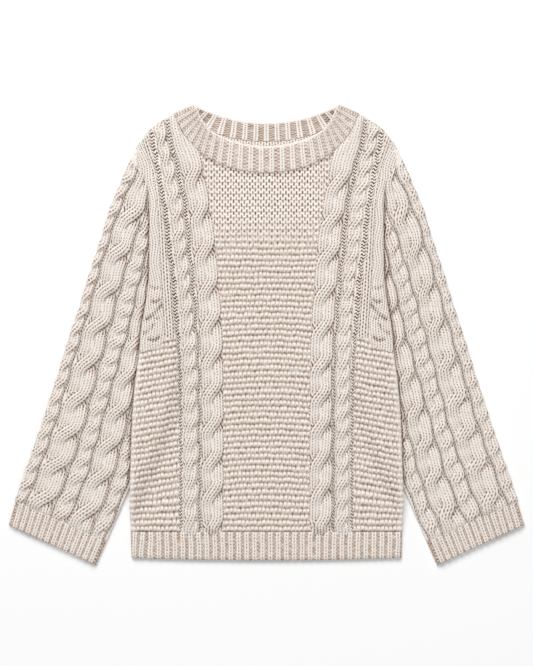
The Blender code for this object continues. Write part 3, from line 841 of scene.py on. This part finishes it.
class BodyGrid:
    """The grid of a body panel, whose columns follow its cables up to its neck."""

    def __init__(self, neck, coarse, per_ridge):
        names = ("centre", *LINES)
        half = []
        for start, end, count in BANDS:
            count = max(2, round(count / coarse))
            half += [(names.index(start), names.index(end), step / count) for step in range(count)]
        half.append((names.index("seam"), names.index("side"), 1.0))
        places = [(-1.0, *place) for place in reversed(half[1:])] + [(1.0, *place) for place in half]
        self.side, self.start, self.end, self.share = (np.array(values) for values in zip(*places))
        self.columns = len(places) - 1
        self.lower = LOWER_RIDGES * per_ridge
        self.along = self.lower + UPPER_RIDGES * per_ridge
        outer = self.start == names.index("seam")
        seams = np.flatnonzero(outer & (self.share == 0.0))
        self.first, self.last = int(seams[0]), int(seams[-1])
        every = np.arange(len(places))
        low, high = np.full(len(places), 0.2), np.full(len(places), 0.32)
        for _ in range(30):
            middle = 0.5 * (low + high)
            below = middle < top_edge(neck, np.abs(self.across(every, middle)))
            low, high = np.where(below, middle, low), np.where(below, high, middle)
        self.top = low
        at_arm = np.abs(self.across(every, np.full(len(places), UNDERARM)))
        self.outside = outer & (self.share > 0.0)
        self.middle = np.where(self.outside, armhole(at_arm), UNDERARM)

    def across(self, column, height):
        """Where columns lie at their heights."""
        lines = np.stack([np.zeros(len(height)), *(body_line(name, height) for name in LINES)])
        near, far = (lines[line[column], np.arange(len(height))] for line in (self.start, self.end))
        return self.side[column] * between(near, far, self.share[column])

    def no_cloth(self, column, row):
        return row >= self.lower and (column < self.first or column >= self.last)

    def place(self, column, row):
        """x and y of grid places. They reach the middle of each seam, where they meet the next piece."""
        middle = self.middle[column] + np.where(self.outside[column], PAST, 0.0)
        below = between(BODY_BOTTOM - PAST, middle, row / self.lower)
        rise = (row - self.lower) / (self.along - self.lower)
        above = between(self.middle[column], self.top[column] + PAST, rise)
        y = np.where(row <= self.lower, below, above)
        x = self.across(column, y)
        seam = ((column == self.first) | (column == self.last)) & (row >= self.lower)
        return x + np.where(seam, np.sign(x) * PAST, 0.0), y


def body_kinds(far, y, cabled):
    """Which knit the body's faces are, from the places of their middles."""
    middle = far < body_line("garter", y) + 4.0 * MM
    beside = (y > armhole(far)) & (far < body_line("seam", y) + MM)
    inner = BED if cabled else PLAIN
    return np.select([middle, far < body_line("gutter", y), beside], [GARTER, inner, PLAIN], GARTER)


def body_dress(column, row, part, inside, points, cabled=True):
    """Materials, patterns and painted shade of a body panel's faces."""
    x, y = points[..., 0], points[..., 1]
    far = np.abs(x)
    kind = body_kinds(far.mean(1), y.mean(1), cabled)
    plain, bed = kind[:, None] == PLAIN, kind[:, None] == BED
    big, small = body_line("big", y), body_line("small", y)
    outer = far > (big + small) / 2
    across = (far - np.where(outer, small, big)) / np.where(outer, gutter_half(y), inner_half(y) + 0.6 * MM)
    sewn = np.sign(x) * (far - body_line("seam", y)) / STITCH
    u = np.select([plain, bed], [sewn, across], x / GARTER_STITCH)
    v = np.select([plain, bed], [y / (1.3 * ROW), y / LADDER], ridge_phase(x, y))
    # Shade is painted into the purl beside the cables: most at the cables' borders, changing along their wavy
    # outline, and where the cloth is pulled in beside a big cable's crossings.
    gutter = np.maximum(
        bell(far - big, inner_half(y) + 0.9 * MM), bell(far - small, gutter_half(y) + 1.0 * MM)
    )
    notch = 0.18 * np.cos(y / WAVES["small"][1]) * np.where(outer, 1.0, 0.6)
    at_neck = smooth((6.0 * MM - np.abs(top_edge(FRONT_NECK, far) - y)) / (3.0 * MM))
    at_hem = smooth((3.0 * MM - y + BODY_BOTTOM) / (3.0 * MM))
    eyelets = np.maximum(at_neck, 0.7 * at_hem)
    hollow = 0.5 + 0.36 * gutter + notch + 0.5 * crossing_pull(x, y)
    gap = np.select([plain, bed], [np.ones(x.shape), hollow], 0.98 + 0.5 * eyelets)
    # The painted shade is weaker near an edge, where the knit flattens as it rounds over.
    gap = gap * between(0.35, 1.0, smooth(body_edge(x, y) / EDGE_FADE))
    # The strip of back that shows above the front's neck gets painted shade, below the front's edge.
    if not cabled:
        gap = gap + 0.6 * smooth((y - top_edge(FRONT_NECK, far) - 2.0 * MM) / (4.0 * MM))
    within = inside.all(1)
    each = within[:, None]
    u, v, gap = np.where(each, x / STITCH, u), np.where(each, y / ROW, v), np.where(each, 0.8, gap)
    return np.where(within, PLAIN, kind), u, v, gap


def crossing_pull(x, y):
    """How strongly the cloth is pulled in beside a big cable's crossings, from 0 to 1."""
    pull = np.zeros(x.shape)
    for side in (-1, 1):
        turns = read(CROSSINGS[side], "height", "number", y) / MM
        near = bell(turns - np.round(turns), 0.07)
        for line in ("garter", "big"):
            away = bell(np.abs(x) - body_line(line, y), 2.6 * MM)
            pull = np.maximum(pull, np.where(np.sign(x) == side, near * away, 0.0))
    return pull


def front_relief(x, y):
    """How far the front's knit stands out at a point, without its cables."""
    far = np.abs(x)
    garter, edge, seam = (body_line(name, y) for name in ("garter", "gutter", "seam"))
    ridge = sizes().ridge * (0.5 + 0.5 * np.cos(2.0 * np.pi * ridge_phase(x, y)))
    ridge = ridge * between(0.3, 1.0, smooth(body_edge(x, y) / EDGE_FADE))
    ridge = ridge * (1.0 - 0.4 * smooth((y - 60.0 * MM) / (80.0 * MM)))
    knit = 0.8 * MM * smooth((seam - far) / (4.0 * MM))
    plain = (far > edge) & (y > armhole(far)) & (far < seam + MM)
    start, end = smooth((far - garter - 2.0 * MM) / (3.0 * MM)), smooth((edge + 0.5 * MM - far) / (2.5 * MM))
    out = np.where(plain, knit, np.where((far > garter + 3.0 * MM) & (far < edge), 0.0, ridge))
    return out - sizes().bed * start * end - 1.6 * MM * crossing_pull(x, y)


def body_cables(side):
    """The big and the small cable of one side of the front."""

    def big_turns(y):
        return read(CROSSINGS[side], "height", "number", y) / MM

    def small_turns(y):
        return (y - BODY_BOTTOM) / SMALL_STEP[side] + 0.35

    big = (
        lambda y: body_line("garter", y) - 0.8 * MM,
        lambda y: body_line("big", y) - inner_half(y) + 0.3 * MM,
        {"turns": big_turns, "height": sizes().big_cable, "swing": 0.66, "pinch": 0.09, "fat": 0.63},
    )
    small = (
        lambda y: body_line("big", y) + inner_half(y) + 0.2 * MM,
        lambda y: body_line("small", y) - gutter_half(y) - 0.8 * MM,
        {"turns": small_turns, "height": sizes().small_cable, "swing": 1.0, "pinch": 0.09, "fat": 0.78},
    )
    cables = []
    for near, far, cable in (big, small):
        low, high = (near, far) if side > 0 else (far, near)
        cable["low"] = lambda y, edge=low: side * edge(y)
        cable["high"] = lambda y, edge=high: side * edge(y)
        cables.append(cable)
    return cables


class KNIT_OT_front(bpy.types.Operator):
    """Knit the front panel and its cables"""

    bl_idname = "knit.front"
    bl_label = "Front"

    def execute(self, context):
        grid = BodyGrid(FRONT_NECK, 1.0, 5)

        def place(column, row, inside):
            x, y = grid.place(column, row)
            if inside:
                return x, y, lift(x, y, FRONT_RAMP) + WALL + AIR
            top = top_edge(FRONT_NECK, np.abs(x))
            ends = smooth((y - BODY_BOTTOM) / (5.0 * MM)) * smooth((top - y) / (5.0 * MM))
            return x, y, front_skin(x, y) + front_relief(x, y) * ends - 0.4 * MM

        def point(x, y, tall):
            top = top_edge(FRONT_NECK, np.abs(x)) - 0.4 * MM
            y = np.minimum(y, top)
            fade = smooth((y - CABLE_FOOT) / EDGE_FADE) * smooth((top - y) / EDGE_FADE)
            return x, y, front_skin(x, y) - MM + np.where(tall > 0, tall * between(0.25, 1.0, fade), tall)

        panel = wall("front_knit", grid.columns, grid.along, place, body_dress, grid.no_cloth, hidden=0.3)
        both = body_cables(-1) + body_cables(1)
        cables = make_cables("front_cables", both, CABLE_FOOT, CABLE_TOP - CABLE_FOOT, 330, point)
        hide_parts("front")
        sew_in(panel, cables)
        return {"FINISHED"}


class KNIT_OT_back(bpy.types.Operator):
    """Knit the back panel, which lies on the floor"""

    bl_idname = "knit.back"
    bl_label = "Back"

    def execute(self, context):
        grid = BodyGrid(BACK_NECK, 2.0, 2)

        def place(column, row, inside):
            x, y = grid.place(column, row)
            full = 0.0 if inside else between(0.3, 1.0, nose(body_edge(x, y)))
            return x, y, lift(x, y, BACK_RAMP) + WALL - WALL * full

        dress = functools.partial(body_dress, cabled=False)
        panel = wall("back_knit", grid.columns, grid.along, place, dress, grid.no_cloth)
        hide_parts("back")
        sew_in(panel)
        return {"FINISHED"}


# ---------------------------------------------------------------- ribs


def rib_shape(turns):
    """Share of a rib's height: full on the knit column at each whole number, low on the purl between."""
    return smooth((0.34 - np.abs(turns - np.round(turns))) / 0.13)


def rib_dress(turns, down, knit=0.3, gap=0.82):
    """How ribs are dressed: turns numbers them, down is the share of their length, knit how much is plain."""
    nearest = np.round(turns)
    away = np.abs(turns - nearest)
    edge = 0.27  # where the plain column ends in the pattern, which is 0.5 long
    outer = between(edge, 0.5, (away - knit) / (0.5 - knit))
    u = nearest + np.sign(turns - nearest) * np.where(away < knit, away / knit * edge, outer)
    return RIB, u, RIB_LONG * down / (0.8 * ROW), gap


class KNIT_OT_hem(bpy.types.Operator):
    """Knit the two halves of the ribbed hem"""

    bl_idname = "knit.hem"
    bl_label = "Hem"

    def execute(self, context):
        per_rib, rows = 10, 14
        across = HEM_RIBS * per_rib

        def turns(column, row):
            share, down = 2.0 * column / across - 1.0, row / rows
            lean = 0.35 * bell(share + 0.93, 0.06) * down
            return column / per_rib + 0.5 + lean + 0.05 * wobble(share, down, 0.21, 3.0)

        def dress(column, row, part, inside, points):
            return rib_dress(turns(column, row), row / rows)

        for name, front in (("hem_front", True), ("hem_back", False)):
            base = WALL + (AIR if front else 0.0)

            def place(column, row, inside):
                share, down = 2.0 * column / across - 1.0, row / rows
                half = body_line("side", BODY_BOTTOM)
                x = share * half * (1.0 - 0.006 * down)
                y = between(BODY_BOTTOM, HEM_SIDE - HEM_DROP * (1.0 - share * share), down)
                if inside:
                    return x, y, base
                full = between(0.3, 1.0, nose((1.0 - np.abs(share)) * half))
                full = full * between(0.55, 1.0, nose((1.0 - down) * RIB_LONG, 3.0 * MM))
                if not front:
                    return x, y, base - WALL * full
                ribs = sizes().rib * (rib_shape(turns(column, row)) - 0.35)
                start = between(0.4, 1.0, smooth(down / 0.12))
                return x, y, base + (WALL - 0.3 * MM + ribs * start) * full

            made = wall(f"{name}_rib", across, rows, place, dress, hidden=0.1)
            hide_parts(name)
            sew_in(made)
        return {"FINISHED"}


def band_edges(layer, share):
    """The free and the sewn points of the neckband, share from -1 at the left shoulder to 1 at the right."""
    step = np.abs(share) * BAND_LINES[-1][0] * MM
    side = np.where(share < 0, -1.0, 1.0)
    x, y, sewn = (read(BAND_LINES, "step", f"{layer}_{name}", step) for name in ("x", "y", "sewn"))
    sewn_y = top_edge(FRONT_NECK if layer == "front" else BACK_NECK, sewn)
    gap = 0.3 * SEAM / np.hypot(x - sewn, y - sewn_y)
    return side * x, y, side * between(sewn, x, gap), between(sewn_y, y, gap)


class KNIT_OT_neckband(bpy.types.Operator):
    """Knit the ribbed neckband"""

    bl_idname = "knit.neckband"
    bl_label = "Neckband"

    def execute(self, context):
        per_rib, turn_steps, rows = 12, 10, 16
        front_steps, back_steps = NECK_RIBS * per_rib, BACK_NECK_RIBS * per_rib
        around = front_steps + back_steps + 2 * turn_steps

        def station(column):
            """Which share of the front or the back a column lies at, and how far it has turned."""
            column = column % around
            second = column - front_steps - turn_steps
            cases = [column <= front_steps, second < 0, second <= back_steps]
            turning, back_turning = 1.0 + second / turn_steps, 1.0 - (second - back_steps) / turn_steps
            turned = np.select(cases, [0.0, turning, 1.0], back_turning)
            on_front, on_back = 2.0 * column / front_steps - 1.0, 1.0 - 2.0 * second / back_steps
            return np.select(cases, [on_front, 1.0, on_back], -1.0), turned

        def turns(share, turned):
            return (share + 1.0) * np.where(turned < 0.5, NECK_RIBS, BACK_NECK_RIBS) / 2 + 0.5

        def place(column, row, inside):
            share, turned = station(column)
            down = row / rows
            side = np.where(share < 0, -1.0, 1.0)
            edges = (band_edges(layer, share) for layer in ("front", "back"))
            fx, fy, sx, sy = (between(front, back, turned) for front, back in zip(*edges))
            long = np.hypot(sx - fx, sy - fy)
            edge = between(0.5, 1.0, nose(down * long, 6.0 * MM))
            sewn = between(0.75, 1.0, smooth((1.0 - down) * long / (4.0 * MM)))
            unturned = smooth(8.0 * np.abs(2.0 * turned - 1.0) - 7.0)
            rib = sizes().rib * 0.75 * (rib_shape(turns(share, turned)) * unturned - 0.4) * edge
            if inside:
                thick = AIR / 2 + np.where(turned > 0.99, -0.8 * rib, 0.0)
            else:
                thick = AIR / 2 + np.where(turned < 0.5, (WALL + rib) * edge * sewn, WALL * edge)
            out = thick * np.sin(np.pi * turned)
            x, y = between(fx, sx, down) + FOLD_SIDEWAYS * side * out, between(fy, sy, down) + FOLD_UP * out
            return x, y, WALL + AIR / 2 + thick * np.cos(np.pi * turned)

        def dress(column, row, part, inside, points):
            share, turned = station(column)
            # The back band is painted darker, most near the shoulders where the front band lies over it:
            # painted shade. The holes are painted lighter along the folded free edge, a painted highlight on
            # its roundness.
            corner = np.where(turned > 0.5, 0.16 + 0.5 * smooth((np.abs(share) - 0.6) / 0.35), 0.0)
            gap = 0.1 + (0.58 + corner) * smooth(RIB_LONG * row / rows / (4.0 * MM) - 0.2)
            return rib_dress(turns(share, turned), row / rows, 0.22, gap)

        made = wall("neckband_rib", around, rows, place, dress, rolled=True)
        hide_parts("neckband")
        sew_in(made)
        return {"FINISHED"}


# ---------------------------------------------------------------- the sleeves

SLEEVE_CABLES = SLEEVE_LINES[0][5:]  # each cable's name is that of the line at its inner side
SLEEVE_FOOT = -4.0 * MM  # where the sleeves' cables start, past the cuff's seam


def sleeve_line(name, up):
    """Distance from the sleeve's outer edge of a line between its cables, which waves as they cross."""
    return read(SLEEVE_LINES, "up", name, up) + 1.1 * MM * np.sin(up / (8.0 * MM) + len(name))


def over_edge(x, y):
    """How far a place lies outside the edge that covers a sleeve: the body's, then the folded head's."""
    return np.abs(x) - np.where(y < ARMPIT, body_line("side", y), read(HEAD_BORDER, "height", "across", y))


def covered(x, y):
    """1 where the body or the folded head lies over a sleeve, 0 in the open."""
    hidden = 1.0 - smooth((over_edge(x, y) + 1.0 * MM) / (4.0 * MM))
    return np.where((y > 250.0 * MM) | (y < BODY_BOTTOM), 0.0, hidden)


def cover_shadow(x, y):
    """How much shadow of the body or the folded head that lies over a sleeve is painted on it: 1 right beside
    their edge, 0 further away.
    """
    return smooth(1.0 - np.abs(over_edge(x, y)) / (9.0 * MM)) * (y > BODY_BOTTOM) * (y < 190.0 * MM)


def sleeve_edges(up):
    """x and y of a sleeve's outer edge, then of its inner one."""
    return [read(SLEEVE_LINES, "up", name, up) for name in SLEEVE_LINES[0][1:5]]


def cable_edges(up):
    """Edge points of a sleeve, and of the upper end of its cuff where up is negative."""
    past = np.minimum(up, 0.0) / CUFF_LONG
    return [value + past * (value - end) for value, end in zip(sleeve_edges(up), CUFF_END)]


def cuff_edges(up):
    """Edge points of a cuff: up is 0 at its free end and 1 at the sleeve."""
    return [between(end, value, up) for value, end in zip(sleeve_edges(0.0), CUFF_END)]


def on_tube(edges, distance):
    """x and y of a place on a flattened tube, at a distance in from its outer edge, and the tube's width."""
    x0, y0, x1, y1 = edges
    width = np.hypot(x1 - x0, y1 - y0)
    return between(x0, x1, distance / width), between(y0, y1, distance / width), width


def make_tube(name, side, rows, long, edges, count, relief, dress, hidden):
    """A flattened tube with fine columns on its top and few below.

    long is how far up the edges go, count the number of columns between the rims of its top, and relief how
    far its knit stands out.
    """
    rim = np.array((0.0, 0.8, 2.4, 5.0)) * MM
    widths = on_tube(edges(np.arange(rows + 1) / rows * long), 0.0)[2]
    wide, zero = widths[:, None], np.zeros((rows + 1, 1))
    middle = rim[-1] + (wide - 2 * rim[-1]) * np.linspace(0.0, 1.0, count)[1:-1]
    top = np.hstack((rim + zero, middle, wide - rim[::-1]))
    low = np.hstack((wide - rim[1:], wide * np.linspace(0.85, 0.15, 6), rim[:0:-1] + zero))
    spots = np.hstack((top, low, zero))
    face = np.array([1.0] * top.shape[1] + [-1.0] * low.shape[1] + [1.0])

    def place(column, row, inside):
        up, distance, sign, width = row / rows * long, spots[row, column], face[column], widths[row]
        near = np.minimum(distance, width - distance)
        if inside:
            distance = np.clip(distance, WALL, width - WALL)
            half = SLOT / 2 * nose(near - WALL, 3.0 * MM)
        else:
            half = TUBE / 2 * nose(near)
        x, y, _ = on_tube(edges(up), distance)
        z = TUBE / 2 + sign * half
        if not inside:
            z = z + np.where(sign > 0, relief(column, distance, up, x, y) * nose(near), 0.0)
        return side * x, y, z

    def paint(column, row, part, inside, points):
        distance = spots[row, column]
        near = np.minimum(distance, widths[row] - distance)
        return dress(column, distance, near, row / rows * long, (face[column] < 0).any(1), points)

    return wall(name, spots.shape[1] - 1, rows, place, paint, rolled=True, hidden=hidden)


def from_line(distance, up):
    """Distance from the nearest line between a sleeve's cables, less than 0 on its outer side."""
    away = np.stack([distance - sleeve_line(name, up) for name in SLEEVE_CABLES])
    return np.take_along_axis(away, np.abs(away).argmin(0)[None], 0)[0]


def make_sleeve(name, side):
    """A sleeve's tube."""

    def relief(column, distance, up, x, y):
        hollow = bell(from_line(distance, up), 2.0 * MM)
        return (-0.7 * MM - 0.9 * MM * hollow) * between(1.0, 0.2, covered(x, y))

    def dress(column, distance, near, up, below, points):
        each, away = below[:, None], from_line(distance, up)
        # Shade is painted into the gutters between the cables and beside the body or folded head that lies
        # over the sleeve. It is weaker near the tube's edges, where the knit rounds over.
        rim = between(0.2, 1.0, smooth(near / (4.0 * MM)))
        gap = 0.6 + 0.5 * bell(away, 2.4 * MM) + 0.4 * cover_shadow(points[..., 0], points[..., 1])
        u = np.where(each, distance / STITCH, away / (1.5 * MM))
        v = np.where(each, up / ROW, up / LADDER)
        return np.where(below, PLAIN, BED), u, v, np.where(each, 0.7, gap * rim)

    return make_tube(name, side, 236, SLEEVE_LONG, sleeve_edges, 56, relief, dress, 0.5)


def sleeve_cables(side):
    """The five cables of a sleeve, from its outer edge inwards. Across runs from that edge."""
    borders = [lambda up: sleeve_line("edge", up) - OUTER_SMALL - 6.0 * MM]
    borders += [functools.partial(sleeve_line, name) for name in SLEEVE_CABLES]
    cables = []
    for number, (outer, inner) in enumerate(zip(borders, borders[1:])):

        def low(up, outer=outer):
            return outer(up) + CABLE_GAP / 2

        def high(up, outer=outer, inner=inner):
            return np.maximum(inner(up) - CABLE_GAP / 2, outer(up) + 3.0 * MM)

        def big_turns(up, name="outer" if number == 1 else "inner"):
            return read(SLEEVE_CROSSINGS, name, "number", up) / MM

        def small_turns(up, number=number):
            return up / SLEEVE_SMALL_STEP + 0.37 * number

        cable = {"low": low, "high": high, "pinch": 0.08}
        if number % 2:
            cable |= {"turns": big_turns, "height": sizes().big_cable, "swing": 0.62, "fat": 0.64}
        else:
            cable |= {"turns": small_turns, "height": sizes().small_cable, "swing": 0.8, "fat": 0.78}
        if side > 0:  # keeps the strands' lean: a strand that climbs to the right goes outwards here
            cable |= {"low": high, "high": low}
            cable["swing"] *= 0.6
            cable["fat"] += 0.05
        cables.append(cable)
    return cables


def make_sleeve_cables(name, side):
    """The strands on a sleeve. At an edge they go on round its underside."""

    def point(distance, up, tall):
        edges = cable_edges(up)
        width = on_tube(edges, 0.0)[2]
        distance = np.minimum(distance, width)
        x, y, _ = on_tube(edges, np.maximum(distance, 0.0))
        hidden = covered(x, y)
        ends = smooth((up + 6.0 * MM) / (10.0 * MM)) * smooth((SLEEVE_LONG - up) / (40.0 * MM))
        tall = np.where(tall > 0, tall * between(1.0, 0.12, hidden) * ends, tall)
        tall = tall - 0.9 * MM - 0.6 * MM * hidden
        inner = distance > width / 2
        near = np.where(inner, width - distance, distance)
        under = np.where(near < 0, -1.0, 1.0)
        near = np.abs(near)
        reach = near - 0.3 * tall * (1.0 - np.clip(near / NOSE, 0.0, 1.0))
        x, y, _ = on_tube(edges, np.where(inner, width - reach, reach))
        return side * x, y, np.maximum(TUBE / 2 + under * nose(near) * (TUBE / 2 + tall), 0.0)

    return make_cables(name, sleeve_cables(side), SLEEVE_FOOT, SLEEVE_LONG, 300, point, cover_shadow)


def tucked(x, y):
    """How deep the folded head is tucked at a point, from 0 to about 1."""
    depth = np.zeros(np.shape(x))
    for *ends, deep in HEAD_TUCKS:
        x0, y0, x1, y1 = np.array(ends) * MM
        share = ((x - x0) * (x1 - x0) + (y - y0) * (y1 - y0)) / ((x1 - x0) ** 2 + (y1 - y0) ** 2)
        share = np.clip(share, 0.0, 1.0)
        bow = 2.5 * MM * np.sin(np.pi * share)
        away = np.hypot(x - between(x0, x1, share), y - between(y0, y1, share) + bow)
        depth = np.maximum(depth, deep * bell(away, 2.2 * MM))
    return depth


def make_head(name, side):
    """The folded head of a sleeve, which lies over it along the armhole."""
    across, rows = 22, 150
    low, border = float(body_line("seam", UNDERARM)), float(body_line("side", ARMPIT))

    def from_seam(x, y):
        return x - body_line("seam", np.maximum(y, UNDERARM))

    def place(column, row, inside):
        share = column / across
        bottom = armhole(between(border, low, share))
        y = between(bottom, HEAD_TOP, row / rows)
        outer = read(HEAD_BORDER, "height", "across", y)
        x = between(outer, body_line("seam", np.maximum(y, UNDERARM)), share)
        if inside:
            return side * x, y, HEAD_BOTTOM * shoulder_fade(y)
        half = WALL + AIR / 2
        reach = NOSE + 20.0 * MM * smooth((y - 170.0 * MM) / (50.0 * MM))
        full = between(0.15, 1.0, nose(np.abs(outer - x), reach))
        squeezed = smooth((76.0 * MM - y) / (14.0 * MM)) * smooth((y + 20.0 * MM) / (10.0 * MM))
        z = LIFT * shoulder_fade(y) + half + half * full + squeezed * (0.9 - 3.0 * tucked(x, y)) * MM
        z = z + 0.6 * MM * wobble(x, y, 9.0 * MM, 2.0)
        sewn = smooth(1.0 - from_seam(x, y) / (7.0 * MM))
        return side * x, y, between(z, front_skin(side * x, y) - 0.4 * MM, sewn)

    def dress(column, row, part, inside, points):
        x, y = np.abs(points[..., 0]), points[..., 1]
        u = (from_seam(x, y) + 2.0 * MM * np.sin(y / (9.0 * MM))) / (0.92 * STITCH)
        # Shade is painted into the tucks, where the folded head is pressed in.
        return PLAIN, u, y / (0.92 * ROW), 0.6 + 1.3 * tucked(x, y)

    return wall(name, across, rows, place, dress, hidden=0.1)


class KNIT_OT_sleeves(bpy.types.Operator):
    """Knit both sleeves, their cables and their folded heads"""

    bl_idname = "knit.sleeves"
    bl_label = "Sleeves"

    def execute(self, context):
        for word, side in (("left", -1.0), ("right", 1.0)):
            tube = make_sleeve(f"sleeve_{word}_knit", side)
            more = [make_sleeve_cables(f"sleeve_{word}_cables", side), make_head(f"sleeve_{word}_head", side)]
            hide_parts(f"sleeve_{word}")
            sew_in(tube, *more)
        return {"FINISHED"}


class KNIT_OT_cuffs(bpy.types.Operator):
    """Knit both ribbed cuffs"""

    bl_idname = "knit.cuffs"
    bl_label = "Cuffs"

    def execute(self, context):
        per_rib, rows = 10, 14

        def turns(column):
            return (column - 3) / per_rib + 0.5

        def relief(column, distance, up, x, y):
            ribs = sizes().rib * (rib_shape(turns(column)) - 0.45) - 0.2 * MM
            return ribs * between(0.35, 1.0, smooth((1.0 - up) / 0.12))

        def dress(column, distance, near, up, below, points):
            return rib_dress(turns(column), up, 0.35, 0.85)

        for word, side in (("left", -1.0), ("right", 1.0)):
            name, count = f"cuff_{word}_rib", CUFF_RIBS * per_rib
            made = make_tube(name, side, rows, 1.0, cuff_edges, count, relief, dress, 0.3)
            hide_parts(f"cuff_{word}")
            sew_in(made)
        return {"FINISHED"}


# ---------------------------------------------------------------- the stage

CAMERA_HEIGHT, CAMERA_LENS = 2.608, 100.4  # in metres, and in millimetres for a film 36 mm wide


def area_light(name, place, size, power):
    """A soft square lamp that points at the sweater."""
    lamp = bpy.data.lights.new(name, "AREA")
    lamp.shape = "SQUARE"
    lamp.size = size
    lamp.energy = power
    made = bpy.data.objects.new(name, lamp)
    made.location = place
    direction = -made.location
    made.rotation_euler = direction.to_track_quat("-Z", "Y").to_euler()
    bpy.context.scene.collection.objects.link(made)


class KNIT_OT_stage(bpy.types.Operator):
    """Set the floor, the lamps and the camera"""

    bl_idname = "knit.stage"
    bl_label = "Stage"

    def execute(self, context):
        scene = context.scene
        mesh = bpy.data.meshes.new("floor")
        bm = bmesh.new()
        bmesh.ops.create_grid(bm, x_segments=1, y_segments=1, size=4.0)
        bmesh.ops.translate(bm, verts=bm.verts, vec=(0.0, 0.0, -0.1 * MM))
        bm.to_mesh(mesh)
        bm.free()
        paper = bpy.data.materials.new("pale floor")
        paper.use_nodes = True
        shader = paper.node_tree.nodes["Principled BSDF"]
        fill(shader, {"Base Color": (*colours().floor, 1.0), "Roughness": 0.9})
        mesh.materials.append(paper)
        floor = bpy.data.objects.new("floor", mesh)
        scene.collection.objects.link(floor)
        area_light("lamp_top", (-0.9, 3.2, 4.0), 2.9, 222.0)
        area_light("lamp_front", (1.2, -2.6, 4.4), 3.0, 52.0)
        world = bpy.data.worlds.new("soft light")
        world.use_nodes = True
        fill(world.node_tree.nodes["Background"], {"Color": (1.0, 1.0, 1.0, 1.0), "Strength": 0.33})
        scene.world = world
        scene.view_settings.view_transform = "Standard"
        camera = bpy.data.cameras.new("camera")
        camera.lens = CAMERA_LENS
        camera.sensor_width = 36.0
        eye = bpy.data.objects.new("camera", camera)
        eye.location = (0.0, 1.4 * MM, CAMERA_HEIGHT)
        scene.collection.objects.link(eye)
        scene.camera = eye
        return {"FINISHED"}


class KNIT_PT_panel(bpy.types.Panel):
    """The sweater's sizes, colours and pieces"""

    bl_idname = "KNIT_PT_panel"
    bl_label = "Cable knit sweater"
    bl_space_type = "VIEW_3D"
    bl_region_type = "UI"
    bl_category = "Knit"

    def draw(self, context):
        layout = self.layout
        for group in (context.scene.sweater_sizes, context.scene.sweater_colours):
            for name in group.__annotations__:
                layout.prop(group, name)
        for operator in PIECES:
            layout.operator(operator.bl_idname)


PIECES = (
    KNIT_OT_back,
    KNIT_OT_front,
    KNIT_OT_hem,
    KNIT_OT_neckband,
    KNIT_OT_sleeves,
    KNIT_OT_cuffs,
    KNIT_OT_stage,
)
CLASSES = (SweaterSizes, SweaterColours, *PIECES, KNIT_PT_panel)


def register():
    for item in CLASSES:
        bpy.utils.register_class(item)
    bpy.types.Scene.sweater_sizes = PointerProperty(type=SweaterSizes)
    bpy.types.Scene.sweater_colours = PointerProperty(type=SweaterColours)


def unregister():
    del bpy.types.Scene.sweater_colours
    del bpy.types.Scene.sweater_sizes
    for item in reversed(CLASSES):
        bpy.utils.unregister_class(item)


def main():
    register()
    for piece in (
        bpy.ops.knit.stage,
        bpy.ops.knit.back,
        bpy.ops.knit.front,
        bpy.ops.knit.hem,
        bpy.ops.knit.neckband,
        bpy.ops.knit.sleeves,
        bpy.ops.knit.cuffs,
    ):
        piece()


if __name__ == "__main__":
    main()
